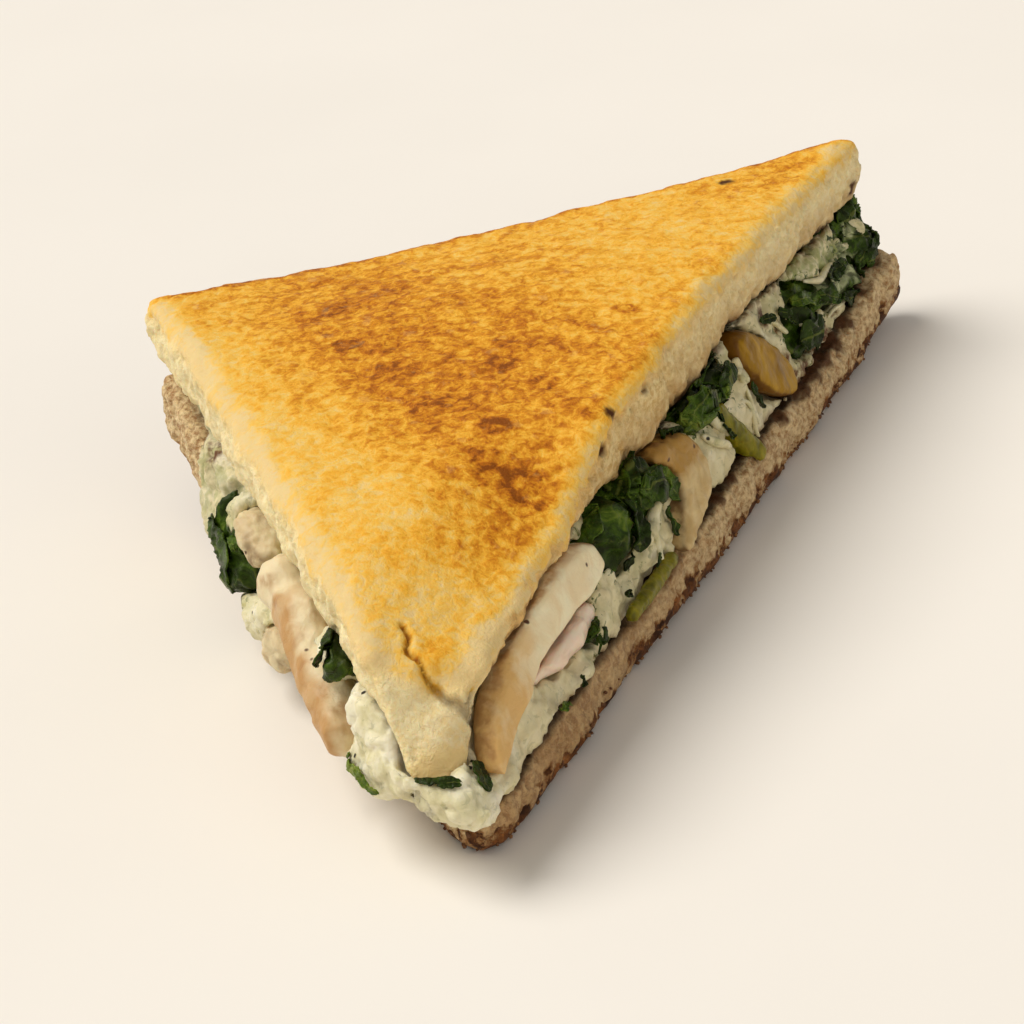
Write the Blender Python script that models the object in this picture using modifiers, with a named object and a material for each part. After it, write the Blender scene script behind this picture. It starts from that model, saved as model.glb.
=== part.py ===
"""One triangular half of a toasted sandwich of spinach, mushroom and melted cheese.

Metres, +Z up. The half stands on its lower slice. The diagonal knife cut faces -Y, with the tip at -X and
the back corner at +X. The heel, which is the right-angle corner of the trimmed slice, points to +Y.
"""

import math

import bmesh
import bpy
from mathutils import Matrix, Vector, noise

MM = 0.001

# Driving sizes
BACK_LEG = 98.5 * MM  # heel to back corner
SIDE_LEG = 109.5 * MM  # heel to tip
LOWER_BREAD = 7.2 * MM
UPPER_BREAD = 8.5 * MM
FILLING = 11.3 * MM
DOME = 1.6 * MM  # how much higher the upper slice is at its middle
TIP_LENGTH = 15.0 * MM  # past this distance from its tip the upper slice has cracked and sunk
TIP_DROP = 10.0 * MM
TIP_SHORTER = 6.0 * MM  # how far the sunken tip has drawn back
CUT_DROP = 4.5 * MM  # how far the knife pressed the upper face down, along the cut's part near the tip
HEEL_LIFT = 8.0 * MM  # how far the lower slice curls up at the heel
BACK_LIFT = 2.4 * MM  # and at the back corner
BACK_SAG = 2.3 * MM  # how far the upper slice hangs at the middle of its back edge
CLEARANCE = 0.4 * MM  # between touching pieces
MELT_SLOPE = 0.36  # how far the filling leans out at the cut for each unit of depth

# Fineness of the meshes
BREAD_VOXEL = 1.7 * MM
FILLING_VOXEL = 1.3 * MM
TRIANGLES = {
    "bread_lower": 1200,
    "bread_upper": 1400,
    "cheese": 1350,
    "spinach": 1300,
    "mushroom": 240,
}

# Plan of the half: the corners of a right triangle with its long side along X
CUT = math.hypot(BACK_LEG, SIDE_LEG)
DEPTH = BACK_LEG * SIDE_LEG / CUT
TIP = Vector((-CUT / 2, -DEPTH / 2))
BACK = Vector((CUT / 2, -DEPTH / 2))
HEEL = Vector((SIDE_LEG**2 / CUT - CUT / 2, DEPTH / 2))
UNDERSIDE = LOWER_BREAD + FILLING  # height of the upper slice's lower face at the edges
MIDDLE = (TIP + BACK + HEEL) / 3

COLOURS = {
    "toast": ((0.80, 0.47, 0.12), 0.6),
    "cheese": ((0.74, 0.74, 0.56), 0.35),
    "spinach": ((0.05, 0.13, 0.03), 0.4),
    "mushroom": ((0.66, 0.48, 0.30), 0.5),
    "onion": ((0.66, 0.48, 0.50), 0.4),
    "stem": ((0.26, 0.30, 0.04), 0.4),
    "amber": ((0.62, 0.36, 0.08), 0.3),
}


# Places on the three sides


def on_cut(x, z, out=0.0):
    """A point of the cut side, x and z in millimetres, out in front of the filling's leaning face."""
    lean = MELT_SLOPE * (UNDERSIDE - z * MM)
    return Vector((x * MM, TIP.y + 1.2 * MM - lean - out * MM, z * MM))


def on_leg(start, end, along, z, out):
    """A point beside one leg of the triangle, in millimetres from its start, and out from its line."""
    run = (end - start).normalized()
    away = Vector((run.y, -run.x))
    if away.dot(start - MIDDLE) < 0:
        away = -away
    place = start + run * along * MM + away * out * MM
    return Vector((place.x, place.y, z * MM))


def on_side(along, z, out=0.0):
    return on_leg(HEEL, TIP, along, z, out)


def on_back(along, z, out=0.0):
    return on_leg(HEEL, BACK, along, z, out)


SIDE_TURN = math.atan2(TIP.y - HEEL.y, TIP.x - HEEL.x)
BACK_TURN = math.atan2(BACK.y - HEEL.y, BACK.x - HEEL.x)


# Tools


def material(name):
    colour, roughness = COLOURS[name]
    made = bpy.data.materials.get(name)
    if made is None:
        made = bpy.data.materials.new(name)
        made.use_nodes = True
        shader = made.node_tree.nodes["Principled BSDF"]
        shader.inputs["Base Color"].default_value = (*colour, 1)
        shader.inputs["Roughness"].default_value = roughness
    return made


def linked(name, data, collection):
    obj = bpy.data.objects.new(name, data)
    collection.objects.link(obj)
    return obj


def settled(obj, weld=False):
    """Replaces the object by a mesh object with its modifiers applied and its place in the mesh."""
    bpy.context.view_layer.update()
    graph = bpy.context.evaluated_depsgraph_get()
    mesh = bpy.data.meshes.new_from_object(obj.evaluated_get(graph))
    mesh.transform(obj.matrix_world)
    name, collection = obj.name, obj.users_collection[0]
    bpy.data.objects.remove(obj)
    if weld:
        work = bmesh.new()
        work.from_mesh(mesh)
        bmesh.ops.remove_doubles(work, verts=work.verts, dist=1e-6)
        work.to_mesh(mesh)
        work.free()
    return linked(name, mesh, collection)


def remeshed(obj, voxel, rounds=2):
    """Fuses everything in the object into one closed skin."""
    skin = obj.modifiers.new("Skin", "REMESH")
    skin.mode = "VOXEL"
    skin.voxel_size = voxel
    if rounds:
        smooth = obj.modifiers.new("Soften", "SMOOTH")
        smooth.factor = 0.5
        smooth.iterations = rounds
    return settled(obj)


def thinned(obj, triangles):
    """Collapses the mesh to about that many triangles."""
    cut = obj.modifiers.new("Triangles", "TRIANGULATE")
    cut.quad_method = "BEAUTY"
    fewer = obj.modifiers.new("Fewer", "DECIMATE")
    fewer.ratio = min(1.0, triangles / (2.0 * len(obj.data.polygons)))
    return settled(obj)


def largest_body(obj):
    """Drops the scraps that a cut leaves loose."""
    work = bmesh.new()
    work.from_mesh(obj.data)
    left = set(work.verts)
    bodies = []
    while left:
        stack, body = [left.pop()], []
        while stack:
            vert = stack.pop()
            body.append(vert)
            for edge in vert.link_edges:
                other = edge.other_vert(vert)
                if other in left:
                    left.discard(other)
                    stack.append(other)
        bodies.append(body)
    bodies.sort(key=len)
    for body in bodies[:-1]:
        bmesh.ops.delete(work, geom=body, context="VERTS")
    work.to_mesh(obj.data)
    work.free()
    return obj


def moved(obj, rule):
    """Moves each vertex to rule(place, normal)."""
    normals = [vert.normal.copy() for vert in obj.data.vertices]
    for vert, normal in zip(obj.data.vertices, normals):
        vert.co = rule(vert.co.copy(), normal)
    obj.data.update()
    return obj


def swollen(obj, collection, by=CLEARANCE):
    """A larger copy, as a cutter that leaves the clearance round the object."""
    cutter = linked(obj.name + "_room", obj.data.copy(), collection)
    cutter.hide_render = True
    cutter.display_type = "WIRE"
    return moved(cutter, lambda place, normal: place + normal * by)


def cut_by(obj, cutters, solver="EXACT"):
    for cutter in cutters:
        cut = obj.modifiers.new("Room for " + cutter.name, "BOOLEAN")
        cut.operation = "DIFFERENCE"
        cut.object = cutter
        cut.solver = solver
    return largest_body(settled(obj))


def inside(place):
    """How far inside the plan's outline a place is."""
    corners = [TIP, BACK, HEEL]
    depths = []
    for i, corner in enumerate(corners):
        run = (corners[(i + 1) % 3] - corner).normalized()
        depths.append(run.x * (place.y - corner.y) - run.y * (place.x - corner.x))
    return min(depths)


def spread(corner, by):
    """The corner moved out from the middle by that many millimetres."""
    return corner + (corner - MIDDLE).normalized() * by * MM


def smooth_step(low, high, value):
    share = min(1.0, max(0.0, (value - low) / (high - low)))
    return share * share * (3 - 2 * share)


def rounded_outline(corners, radii, steps=5):
    """The corners of a flat outline, each turned by an arc of its own radius."""
    points = []
    for i, corner in enumerate(corners):
        before = (corners[i - 1] - corner).normalized()
        after = (corners[(i + 1) % len(corners)] - corner).normalized()
        half = before.angle(after) / 2
        reach = radii[i] / math.tan(half)
        centre = corner + (before + after).normalized() * (radii[i] / math.sin(half))
        first = corner + before * reach - centre
        last = corner + after * reach - centre
        sweep = first.angle_signed(last)
        for step in range(steps + 1):
            turn = -sweep * step / steps
            ray = Matrix.Rotation(turn, 2) @ first
            points.append(centre + ray)
    return points


def slab(name, outline, low, thickness, rounding, collection):
    """A flat slab with rounded rims, drawn as a filled 2D curve."""
    curve = bpy.data.curves.new(name, "CURVE")
    curve.dimensions = "2D"
    curve.fill_mode = "BOTH"
    curve.extrude = thickness / 2 - rounding
    curve.bevel_depth = rounding
    curve.bevel_resolution = 2
    curve.offset = -rounding
    spline = curve.splines.new("POLY")
    spline.points.add(len(outline) - 1)
    for point, place in zip(spline.points, outline):
        point.co = (place.x, place.y, 0, 1)
    spline.use_cyclic_u = True
    obj = linked(name, curve, collection)
    obj.location.z = low + thickness / 2
    return settled(obj, weld=True)


def blob(work, centre, radii, turn=0.0, tilt=0.0):
    """Adds an ellipsoid with radii along its length, depth and height, tilted about Y, then turned about Z."""
    size = Matrix.Diagonal((*[r * MM for r in radii], 1))
    pose = Matrix.Translation(centre) @ Matrix.Rotation(turn, 4, "Z") @ Matrix.Rotation(tilt, 4, "Y")
    bmesh.ops.create_icosphere(work, subdivisions=2, radius=1.0, matrix=pose @ size)


def rod(work, start, end, radius, bulge=1.0):
    """Adds a row of overlapping balls from start to end, growing to bulge times the radius at the end."""
    count = max(2, int((end - start).length / (radius * MM * 0.6)))
    for i in range(count + 1):
        share = i / count
        ball = radius * (1 + (bulge - 1) * share)
        blob(work, start.lerp(end, share), (ball, ball, ball))


def joined(name, base, work, collection):
    """One object with the base object's mesh and what the bmesh holds."""
    if base is not None:
        work.from_mesh(base.data)
        bpy.data.objects.remove(base)
    mesh = bpy.data.meshes.new(name)
    work.to_mesh(mesh)
    work.free()
    return linked(name, mesh, collection)


def finished(obj, colour):
    obj.data.materials.clear()
    obj.data.materials.append(material(colour))
    obj.data.shade_smooth()
    obj.data.set_sharp_from_angle(angle=math.radians(50))
    return obj


# Bread


def crumb_noise(place, size):
    return noise.noise(place / (size * MM))


def ragged(place, normal, amount):
    """Bread's uneven knife cut, at two scales. The broad faces inside the outline stay even."""
    push = 0.65 * crumb_noise(place, 9) + 0.35 * crumb_noise(place + Vector((0.3, 0.1, 0.7)), 3.2)
    shows = smooth_step(5 * MM, 2 * MM, inside(place))
    return place + Vector((normal.x, normal.y, 0.3 * normal.z)) * push * amount * shows


def tip_drop(place, share=0.0):
    """How far the cracked tip hangs at this place. The share is 0 at the slice's lower face and 1 at its upper."""
    reach = (place.xy - TIP).length
    drop = TIP_DROP * smooth_step(TIP_LENGTH + 2 * MM, 2 * MM, reach)
    return drop + 2.2 * MM * smooth_step(42 * MM, TIP_LENGTH, reach) * (0.5 + 0.5 * share)


def sunken(place):
    """Presses the upper slice down along the cut near the tip, and lets its cracked tip hang."""
    reach = (place.xy - TIP).length
    share = (place.z - UNDERSIDE) / UPPER_BREAD
    near_tip = smooth_step(-12 * MM, -32 * MM, place.x)
    near_cut = 1 - smooth_step(0.0, 17 * MM, place.y - TIP.y)
    drop = CUT_DROP * near_tip * near_cut * share + tip_drop(place, share)
    inward = (MIDDLE - TIP).normalized()
    shift = inward * TIP_SHORTER * smooth_step(22 * MM, 0.0, reach)
    return Vector((place.x + shift.x, place.y + shift.y, place.z - drop))


def sag(place):
    """How far the upper slice hangs at this place, along its back edge."""
    along = min(1.0, max(0.0, (place.xy - HEEL).dot(BACK - HEEL) / BACK_LEG**2))
    out = Vector((HEEL.y - BACK.y, BACK.x - HEEL.x)).normalized()
    depth = (HEEL - place.xy).dot(out)
    return BACK_SAG * math.sin(math.pi * along**0.7) * smooth_step(30 * MM, 0.0, depth)


def rim_change(place):
    """How far the lower rim along the cut is off its even height: torn thinner next to the slab, thicker past it."""
    thin = smooth_step(-52 * MM, -36 * MM, place.x) * smooth_step(-16 * MM, -22 * MM, place.x)
    thick = smooth_step(-18 * MM, -11 * MM, place.x) * smooth_step(26 * MM, 10 * MM, place.x)
    near_cut = smooth_step(-24 * MM, -33 * MM, place.y)
    low = 1 - smooth_step(0.1, 0.7, (place.z - UNDERSIDE) / UPPER_BREAD)
    return (1.1 * thin - 1.5 * thick) * MM * near_cut * low


def bread_upper(collection):
    corners = [spread(TIP, 1.0), spread(BACK, 1.4), spread(HEEL, 1.8)]
    outline = rounded_outline(corners, [2.0 * MM, 1.4 * MM, 1.8 * MM])
    slice_ = slab("bread_upper", outline, UNDERSIDE, UPPER_BREAD, 1.3 * MM, collection)
    slice_ = remeshed(slice_, BREAD_VOXEL)

    def rule(place, normal):
        place = ragged(place, normal, 1.3 * MM)
        # the long edge is pressed in a little along its middle
        middle = 1 - (place.x / (CUT / 2)) ** 2
        near_cut = smooth_step(-18 * MM, -DEPTH / 2, place.y)
        place.y += 2.2 * MM * middle * near_cut
        place.z += rim_change(place)
        reach = (place.xy - MIDDLE).length / (0.5 * DEPTH)
        place.z += DOME * max(0.0, 1 - 0.35 * reach * reach) - sag(place)
        return sunken(place)

    return finished(thinned(moved(slice_, rule), TRIANGLES["bread_upper"]), "toast")


def curled_up(place):
    """How far the lower slice curls up at this place, towards its two back corners."""
    heel = HEEL_LIFT * smooth_step(34 * MM, 1 * MM, (place.xy - HEEL).length)
    return heel + BACK_LIFT * smooth_step(26 * MM, 1 * MM, (place.xy - BACK).length)


def bread_lower(collection):
    tip = TIP + Vector((7.2, -1.2)) * MM
    back = BACK + Vector((4.4, -4.9)) * MM
    heel = HEEL + Vector((-1.4, 1.6)) * MM
    outline = rounded_outline([tip, back, heel], [3.5 * MM, 2.5 * MM, 3.0 * MM])
    slice_ = slab("bread_lower", outline, 0.0, LOWER_BREAD, 1.0 * MM, collection)
    slice_ = remeshed(slice_, BREAD_VOXEL)

    def rule(place, normal):
        low = place.z < 0.5 * MM
        place = ragged(place, normal, 0.9 * MM)
        # thinner towards the tip, flat where it rests
        place.z *= 0.82 + 0.18 * smooth_step(-68 * MM, -40 * MM, place.x)
        place.z = 0.0 if low else max(place.z, 0.35 * MM)
        place.z += curled_up(place) * (1 + 0.22 * place.z / LOWER_BREAD)
        return place

    return finished(thinned(moved(slice_, rule), TRIANGLES["bread_lower"]), "toast")


# Mushroom and other firm pieces of the filling


def flat_piece(name, outline, thickness, pose, collection):
    """A slice cut through a piece: its outline lies in the XZ plane of the pose, in millimetres."""
    points = [Vector((x, z)) * MM for x, z in outline]
    piece = slab(name, points, 0.0, thickness * MM, 0.2 * thickness * MM, collection)
    piece.data.transform(Matrix.Rotation(math.pi / 2, 4, "X"))
    piece.data.transform(pose)
    return piece


def in_cut(name, outline, thickness, proud, pose, collection):
    """A flat piece whose face follows the cut's slope and stands that far out of it."""
    piece = flat_piece(name, outline, thickness, pose, collection)
    inset = (thickness - proud) * MM
    for vert in piece.data.vertices:
        vert.co.y += on_cut(0.0, vert.co.z / MM).y + inset
    return piece


def lens_outline(length, height, point=0.0, count=20):
    """A long rounded outline about the origin, drawn out to a point at its left end."""
    outline = []
    for i in range(count):
        turn = 2 * math.pi * i / count
        x = math.cos(turn)
        taper = 1 - point * max(0.0, -x) ** 1.5
        outline.append((x * length / 2, math.sin(turn) * height / 2 * taper))
    return outline


def pose_on(place, turn, tilt):
    return Matrix.Translation(place) @ Matrix.Rotation(turn, 4, "Z") @ Matrix.Rotation(tilt, 4, "Y")


def firm(name, piece, colour, voxel=0.9 * MM, wobble=0.25 * MM, triangles=None):
    piece = remeshed(piece, voxel)
    piece = moved(piece, lambda p, n: p + n * wobble * crumb_noise(p, 3.0))
    return finished(thinned(piece, triangles or TRIANGLES["mushroom"]), colour)


# x along the cut and height of the long slice's outline, in millimetres
FRONT_OUTLINE = [
    (-60.8, 9.4),
    (-57.6, 10.4),
    (-54.6, 11.5),
    (-49.3, 13.0),
    (-42.8, 14.0),
    (-35.1, 14.2),
    (-28.4, 13.7),
    (-25.6, 15.3),
    (-25.9, 17.8),
    (-29.0, 19.2),
    (-34.0, 19.6),
    (-40.0, 19.4),
    (-46.0, 18.8),
    (-51.0, 17.7),
    (-55.5, 16.0),
    (-58.6, 13.9),
    (-60.8, 11.0),
]


def mushroom_front(collection):
    """The long slice that leans along the cut, next to the tip."""
    name = "mushroom_front"
    slice_ = in_cut(name, FRONT_OUTLINE, 3.6, 0.7, Matrix(), collection)
    return firm(name, slice_, "mushroom")


# the same for the slice through a whole mushroom: the cap's arch, then its stem
MIDDLE_OUTLINE = [
    (-7.0, 18.4),
    (-4.4, 18.9),
    (-1.4, 18.3),
    (1.6, 17.4),
    (3.7, 15.8),
    (4.6, 14.1),
    (4.8, 12.6),
    (3.6, 11.4),
    (3.0, 10.2),
    (1.6, 9.3),
    (-0.6, 8.7),
    (-2.8, 8.0),
    (-5.6, 7.3),
    (-8.2, 6.9),
    (-9.2, 7.8),
    (-7.9, 8.8),
    (-6.2, 9.8),
    (-5.0, 11.1),
    (-3.8, 12.2),
    (-3.1, 13.4),
    (-3.4, 14.9),
    (-4.9, 16.4),
    (-6.6, 17.4),
]


def mushroom_middle(collection):
    """A slice through a whole mushroom, cap up, its stem leaning to the tip."""
    name = "mushroom_middle"
    slice_ = in_cut(name, MIDDLE_OUTLINE, 4.2, 0.8, Matrix(), collection)
    return firm(name, slice_, "mushroom", voxel=0.7 * MM, triangles=420)


def amber_slice(collection):
    """A soft translucent amber slice that stands across the whole filling."""
    name = "amber_slice"
    pose = pose_on(Vector((28.2, 0, 13.6)) * MM, 0.0, math.radians(44))
    slice_ = in_cut(name, lens_outline(15.0, 7.0), 4.2, 1.0, pose, collection)
    return firm(name, slice_, "amber")


def mushroom_log(collection):
    """The thick stalk on the open side, with a knob at its upper end."""
    name = "mushroom_log"
    work = bmesh.new()
    upper, lower = on_side(59.0, 14.7, 0.4), on_side(83.2, 9.5, 1.3)
    rod(work, upper, lower, 3.0, bulge=1.08)
    blob(work, upper + Vector((0, 0, 0.3)) * MM, (3.9, 3.5, 3.4), SIDE_TURN)
    blob(work, on_side(66.5, 14.6, 0.2), (4.2, 3.2, 3.0), SIDE_TURN)
    return firm(name, joined(name, None, work, collection), "mushroom", wobble=0.35 * MM)


def lump(name, centre, radii, turn, tilt, colour, collection):
    work = bmesh.new()
    blob(work, centre, radii, turn, tilt)
    return firm(name, joined(name, None, work, collection), colour, wobble=0.6 * MM, triangles=170)


def stalk(name, start, end, radius, collection):
    work = bmesh.new()
    rod(work, start, end, radius)
    return firm(name, joined(name, None, work, collection), "stem", 0.6 * MM, 0.2 * MM, triangles=130)


def firm_pieces(collection):
    front, side, back = 0.0, SIDE_TURN, BACK_TURN
    return [
        mushroom_front(collection),
        mushroom_middle(collection),
        amber_slice(collection),
        mushroom_log(collection),
        lump("mushroom_side", on_side(46.5, 14.4, -0.4), (5.2, 3.4, 2.7), side, 0.2, "mushroom", collection),
        lump("mushroom_low", on_side(58.5, 6.6, 1.9), (5.0, 2.4, 2.9), side, -0.35, "mushroom", collection),
        lump("mushroom_back", on_back(38.0, 12.6, -1.2), (8.5, 3.6, 3.2), back, 0.12, "mushroom", collection),
        lump("mushroom_corner", on_back(79.0, 12.4, -1.6), (5.5, 3.4, 3.4), back, -0.25, "mushroom", collection),
        lump("onion_front", on_cut(-38.4, 12.5, -1.5), (9.6, 2.6, 2.1), front, 0.05, "onion", collection),
        stalk("stem_middle", on_cut(12.6, 14.8, -0.9), on_cut(17.0, 7.2, -0.6), 1.7, collection),
        stalk("stem_front", on_cut(-24.5, 8.2, -0.2), on_cut(-11.4, 8.2, -0.4), 1.1, collection),
    ]


# Spinach: one wilted layer through the sandwich, with the clumps that show fused to it

# x along the cut, height, then half width, depth and height of each clump, in millimetres
CUT_CLUMPS = [
    (-64.0, 10.2, 3.2, 3.0, 1.9),
    (-33.6, 10.4, 2.3, 3.4, 2.2),
    (-20.6, 15.4, 5.6, 4.2, 4.2),
    (-10.4, 15.8, 4.2, 4.0, 4.4),
    (8.6, 17.4, 5.6, 4.2, 2.8),
    (15.6, 17.4, 4.6, 4.0, 2.4),
    (42.4, 11.2, 5.6, 4.0, 3.2),
    (44.0, 15.0, 4.4, 3.6, 1.9),
    (52.0, 12.4, 6.0, 3.6, 1.9),
    (60.0, 10.6, 5.4, 3.6, 1.9),
    (68.8, 11.0, 5.0, 3.6, 2.7),
    (69.4, 16.8, 3.2, 3.0, 2.2),
]
# the same along the open side, from the heel
SIDE_CLUMPS = [
    (38.0, 12.4, 1.7, 2.8, 4.8),
    (43.5, 10.2, 5.4, 3.4, 4.4),
    (81.6, 16.7, 3.6, 2.8, 2.2),
]
# and along the back
BACK_CLUMPS = [
    (16.0, 13.6, 6.0, 4.0, 3.4),
    (27.0, 10.8, 4.6, 3.6, 3.0),
    (53.0, 13.8, 7.2, 4.2, 3.6),
    (64.0, 11.0, 5.0, 3.6, 3.0),
    (90.0, 13.0, 4.2, 3.6, 3.2),
]


def clump(work, centre, radii, turn):
    """A clump of wilted leaf, held to the layer by a root that runs up and inwards."""
    blob(work, centre, radii, turn, tilt=0.25 * math.sin(centre.x / (7 * MM)))
    inward = (MIDDLE - centre.xy).normalized()
    root = Vector((*(centre.xy + inward * 11 * MM), UNDERSIDE - 2.0 * MM))
    rod(work, centre, root, min(2.4, radii[2]), bulge=1.1)


def spinach(collection):
    inset = [corner.lerp(MIDDLE, share) for corner, share in ((TIP, 0.30), (BACK, 0.13), (HEEL, 0.13))]
    low = UNDERSIDE - 3.4 * MM
    layer = slab("spinach", rounded_outline(inset, [6 * MM] * 3), low, 8 * MM, 1.5 * MM, collection)
    work = bmesh.new()
    for x, z, *radii in CUT_CLUMPS:
        clump(work, on_cut(x, z, -2.6), radii, 0.0)
    for along, z, *radii in SIDE_CLUMPS:
        clump(work, on_side(along, z, 0.14 * (18.0 - z)), radii, SIDE_TURN)
    for along, z, *radii in BACK_CLUMPS:
        clump(work, on_back(along, z, -1.0), radii, BACK_TURN)
    leaves = remeshed(joined("spinach", layer, work, collection), FILLING_VOXEL, rounds=1)

    def rule(place, normal):
        shows = smooth_step(13 * MM, 8 * MM, inside(place))
        fold = math.sin(place.x / (0.75 * MM) + 3.2 * crumb_noise(place, 5)) * 0.30
        crumple = 1.25 * crumb_noise(place, 2.6) + fold
        return place + normal * shows * crumple * 0.75 * MM

    return moved(leaves, rule)


# Cheese: melted through the rest of the filling, with the lobes that ran out at the sides

# x along the cut, height, half width, depth and height, in millimetres
CUT_LOBES = [
    (-60.0, 8.6, 6.0, 3.0, 2.0),
    (-49.0, 9.4, 7.0, 3.2, 2.2),
    (-38.0, 8.6, 6.0, 3.0, 1.7),
    (-26.0, 11.6, 6.0, 3.2, 3.2),
    (-15.6, 12.2, 2.4, 3.8, 4.6),
    (-11.5, 10.4, 4.5, 3.0, 2.6),
    (9.4, 12.0, 5.0, 3.4, 3.6),
    (19.0, 9.8, 4.4, 3.2, 2.8),
    (20.6, 14.8, 2.8, 3.2, 2.8),
    (36.0, 8.4, 5.0, 3.0, 1.7),
    (49.0, 9.0, 5.6, 3.0, 1.8),
    (52.5, 16.4, 7.5, 3.6, 2.4),
    (60.0, 14.0, 4.6, 3.2, 2.4),
    (71.4, 15.0, 3.4, 3.0, 2.6),
]
# along the open side, height, out from it, half width, depth and height
SIDE_LOBES = [
    (25.0, 12.0, -1.4, 8.0, 3.4, 4.4),
    (26.0, 7.4, 0.4, 5.6, 2.3, 4.0),
    (41.0, 14.0, 0.0, 4.2, 3.4, 3.4),
    (48.5, 5.6, 1.7, 7.6, 2.2, 3.2),
    (56.0, 8.2, 1.2, 5.5, 2.8, 4.0),
    (75.0, 13.0, -1.0, 6.0, 3.2, 4.2),
    (90.0, 15.2, -1.8, 5.4, 4.0, 4.4),
    (95.0, 12.4, -2.6, 6.4, 4.4, 4.6),
    (90.5, 8.6, 0.2, 6.4, 2.8, 3.2),
    (99.0, 9.0, -3.4, 5.6, 3.6, 3.4),
]
BACK_LOBES = [
    (22.0, 9.2, 0.6, 8.0, 3.2, 3.4),
    (48.0, 9.4, 0.4, 9.0, 3.4, 3.6),
    (71.0, 9.0, 0.2, 7.0, 3.0, 3.2),
]


def cheese(collection):
    inset = [corner.lerp(MIDDLE, share) for corner, share in ((TIP, 0.085), (BACK, 0.045), (HEEL, 0.045))]
    low = LOWER_BREAD - 1.0 * MM
    outline = rounded_outline(inset, [4 * MM] * 3)
    core = slab("cheese", outline, low, FILLING + 3.0 * MM, 1.8 * MM, collection)
    work = bmesh.new()
    for x, z, *radii in CUT_LOBES:
        lobe = on_cut(x, z, -2.4)
        lobe.y += MELT_SLOPE * (UNDERSIDE - lobe.z)
        blob(work, lobe, radii)
    for along, z, out, *radii in SIDE_LOBES:
        blob(work, on_side(along, z, out), radii, SIDE_TURN)
    for along, z, out, *radii in BACK_LOBES:
        blob(work, on_back(along, z, out), radii, BACK_TURN)
    melt = remeshed(joined("cheese", core, work, collection), FILLING_VOXEL, rounds=3)

    def rule(place, normal):
        near_cut = smooth_step(-26 * MM, -34 * MM, place.y)
        place.y -= near_cut * (MELT_SLOPE * (UNDERSIDE - place.z) - 0.4 * MM)
        place.z -= tip_drop(place) * smooth_step(12 * MM, 17 * MM, place.z)
        place.z = max(place.z, 1.2 * MM)
        shows = smooth_step(11 * MM, 7 * MM, inside(place))
        return place + normal * shows * 0.5 * MM * crumb_noise(place, 4.5)

    return moved(melt, rule)


# The whole half


def clear_scene():
    for obj in list(bpy.data.objects):
        bpy.data.objects.remove(obj)


def new_collection(name):
    made = bpy.data.collections.new(name)
    bpy.context.scene.collection.children.link(made)
    return made


def stand_on_origin(objects):
    """Moves everything so that the middle of the bounding box's base is the origin."""
    places = [vert.co for obj in objects for vert in obj.data.vertices]
    low = Vector(map(min, zip(*places)))
    high = Vector(map(max, zip(*places)))
    shift = Matrix.Translation(-Vector(((low.x + high.x) / 2, (low.y + high.y) / 2, low.z)))
    for obj in objects:
        obj.data.transform(shift)


def build():
    clear_scene()
    sandwich = new_collection("spinach_sandwich_half")
    room = new_collection("cutters")

    bread = [bread_lower(sandwich), bread_upper(sandwich)]
    bread_room = [swollen(obj, room) for obj in bread]
    pieces, piece_room = [], []
    for piece in firm_pieces(sandwich):
        pieces.append(cut_by(piece, bread_room + piece_room))
        piece_room.append(swollen(pieces[-1], room))

    leaves = thinned(spinach(sandwich), TRIANGLES["spinach"])
    leaves = finished(cut_by(leaves, bread_room + piece_room), "spinach")
    # in a fold of the leaf the swollen copy turns inside out, so the leaf itself cuts too
    leaf_room = [swollen(leaves, room, by=0.6 * MM), swollen(leaves, room, by=0.0)]

    melt = thinned(cheese(sandwich), TRIANGLES["cheese"])
    melt = finished(cut_by(melt, bread_room + piece_room + leaf_room, "MANIFOLD"), "cheese")

    for cutter in list(room.objects):
        bpy.data.objects.remove(cutter)
    bpy.data.collections.remove(room)
    stand_on_origin(bread + pieces + [leaves, melt])


build()
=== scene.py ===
"""Half of a toasted spinach sandwich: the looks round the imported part."""

import itertools
import math

import bmesh
import bpy
import numpy as np
from mathutils import Matrix, Vector
from mathutils.bvhtree import BVHTree


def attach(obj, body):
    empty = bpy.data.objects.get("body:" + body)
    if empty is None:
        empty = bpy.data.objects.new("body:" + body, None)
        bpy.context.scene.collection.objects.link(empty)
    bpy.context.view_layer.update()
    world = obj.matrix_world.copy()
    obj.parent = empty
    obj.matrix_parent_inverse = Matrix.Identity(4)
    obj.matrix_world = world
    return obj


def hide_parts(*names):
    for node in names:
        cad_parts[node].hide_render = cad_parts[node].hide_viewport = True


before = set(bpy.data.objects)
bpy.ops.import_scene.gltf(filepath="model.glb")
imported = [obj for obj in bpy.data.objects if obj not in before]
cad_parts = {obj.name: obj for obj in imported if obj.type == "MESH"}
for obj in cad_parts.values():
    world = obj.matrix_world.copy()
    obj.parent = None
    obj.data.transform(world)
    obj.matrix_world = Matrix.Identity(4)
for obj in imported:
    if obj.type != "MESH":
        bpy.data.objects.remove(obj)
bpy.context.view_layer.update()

# Places and sizes below are in millimetres; a mesh is in metres
MM = 0.001

# The part's frame is centred on its box, and the plan of the half was drawn round another point
SHIFT = np.array([-3.358, 1.867])
TIP = np.array([-73.64, -36.62]) + SHIFT
BACK = np.array([73.64, -36.62]) + SHIFT
HEEL = np.array([7.77, 36.62]) + SHIFT

# The cut leans: its upper rim's y and height, its run outwards for each millimetre down, the way out
CUT_Y, CUT_TOP, CUT_LEAN = -34.0, 18.5, 0.36
OUT_OF_CUT = (0.0, -0.94, 0.34)

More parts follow.
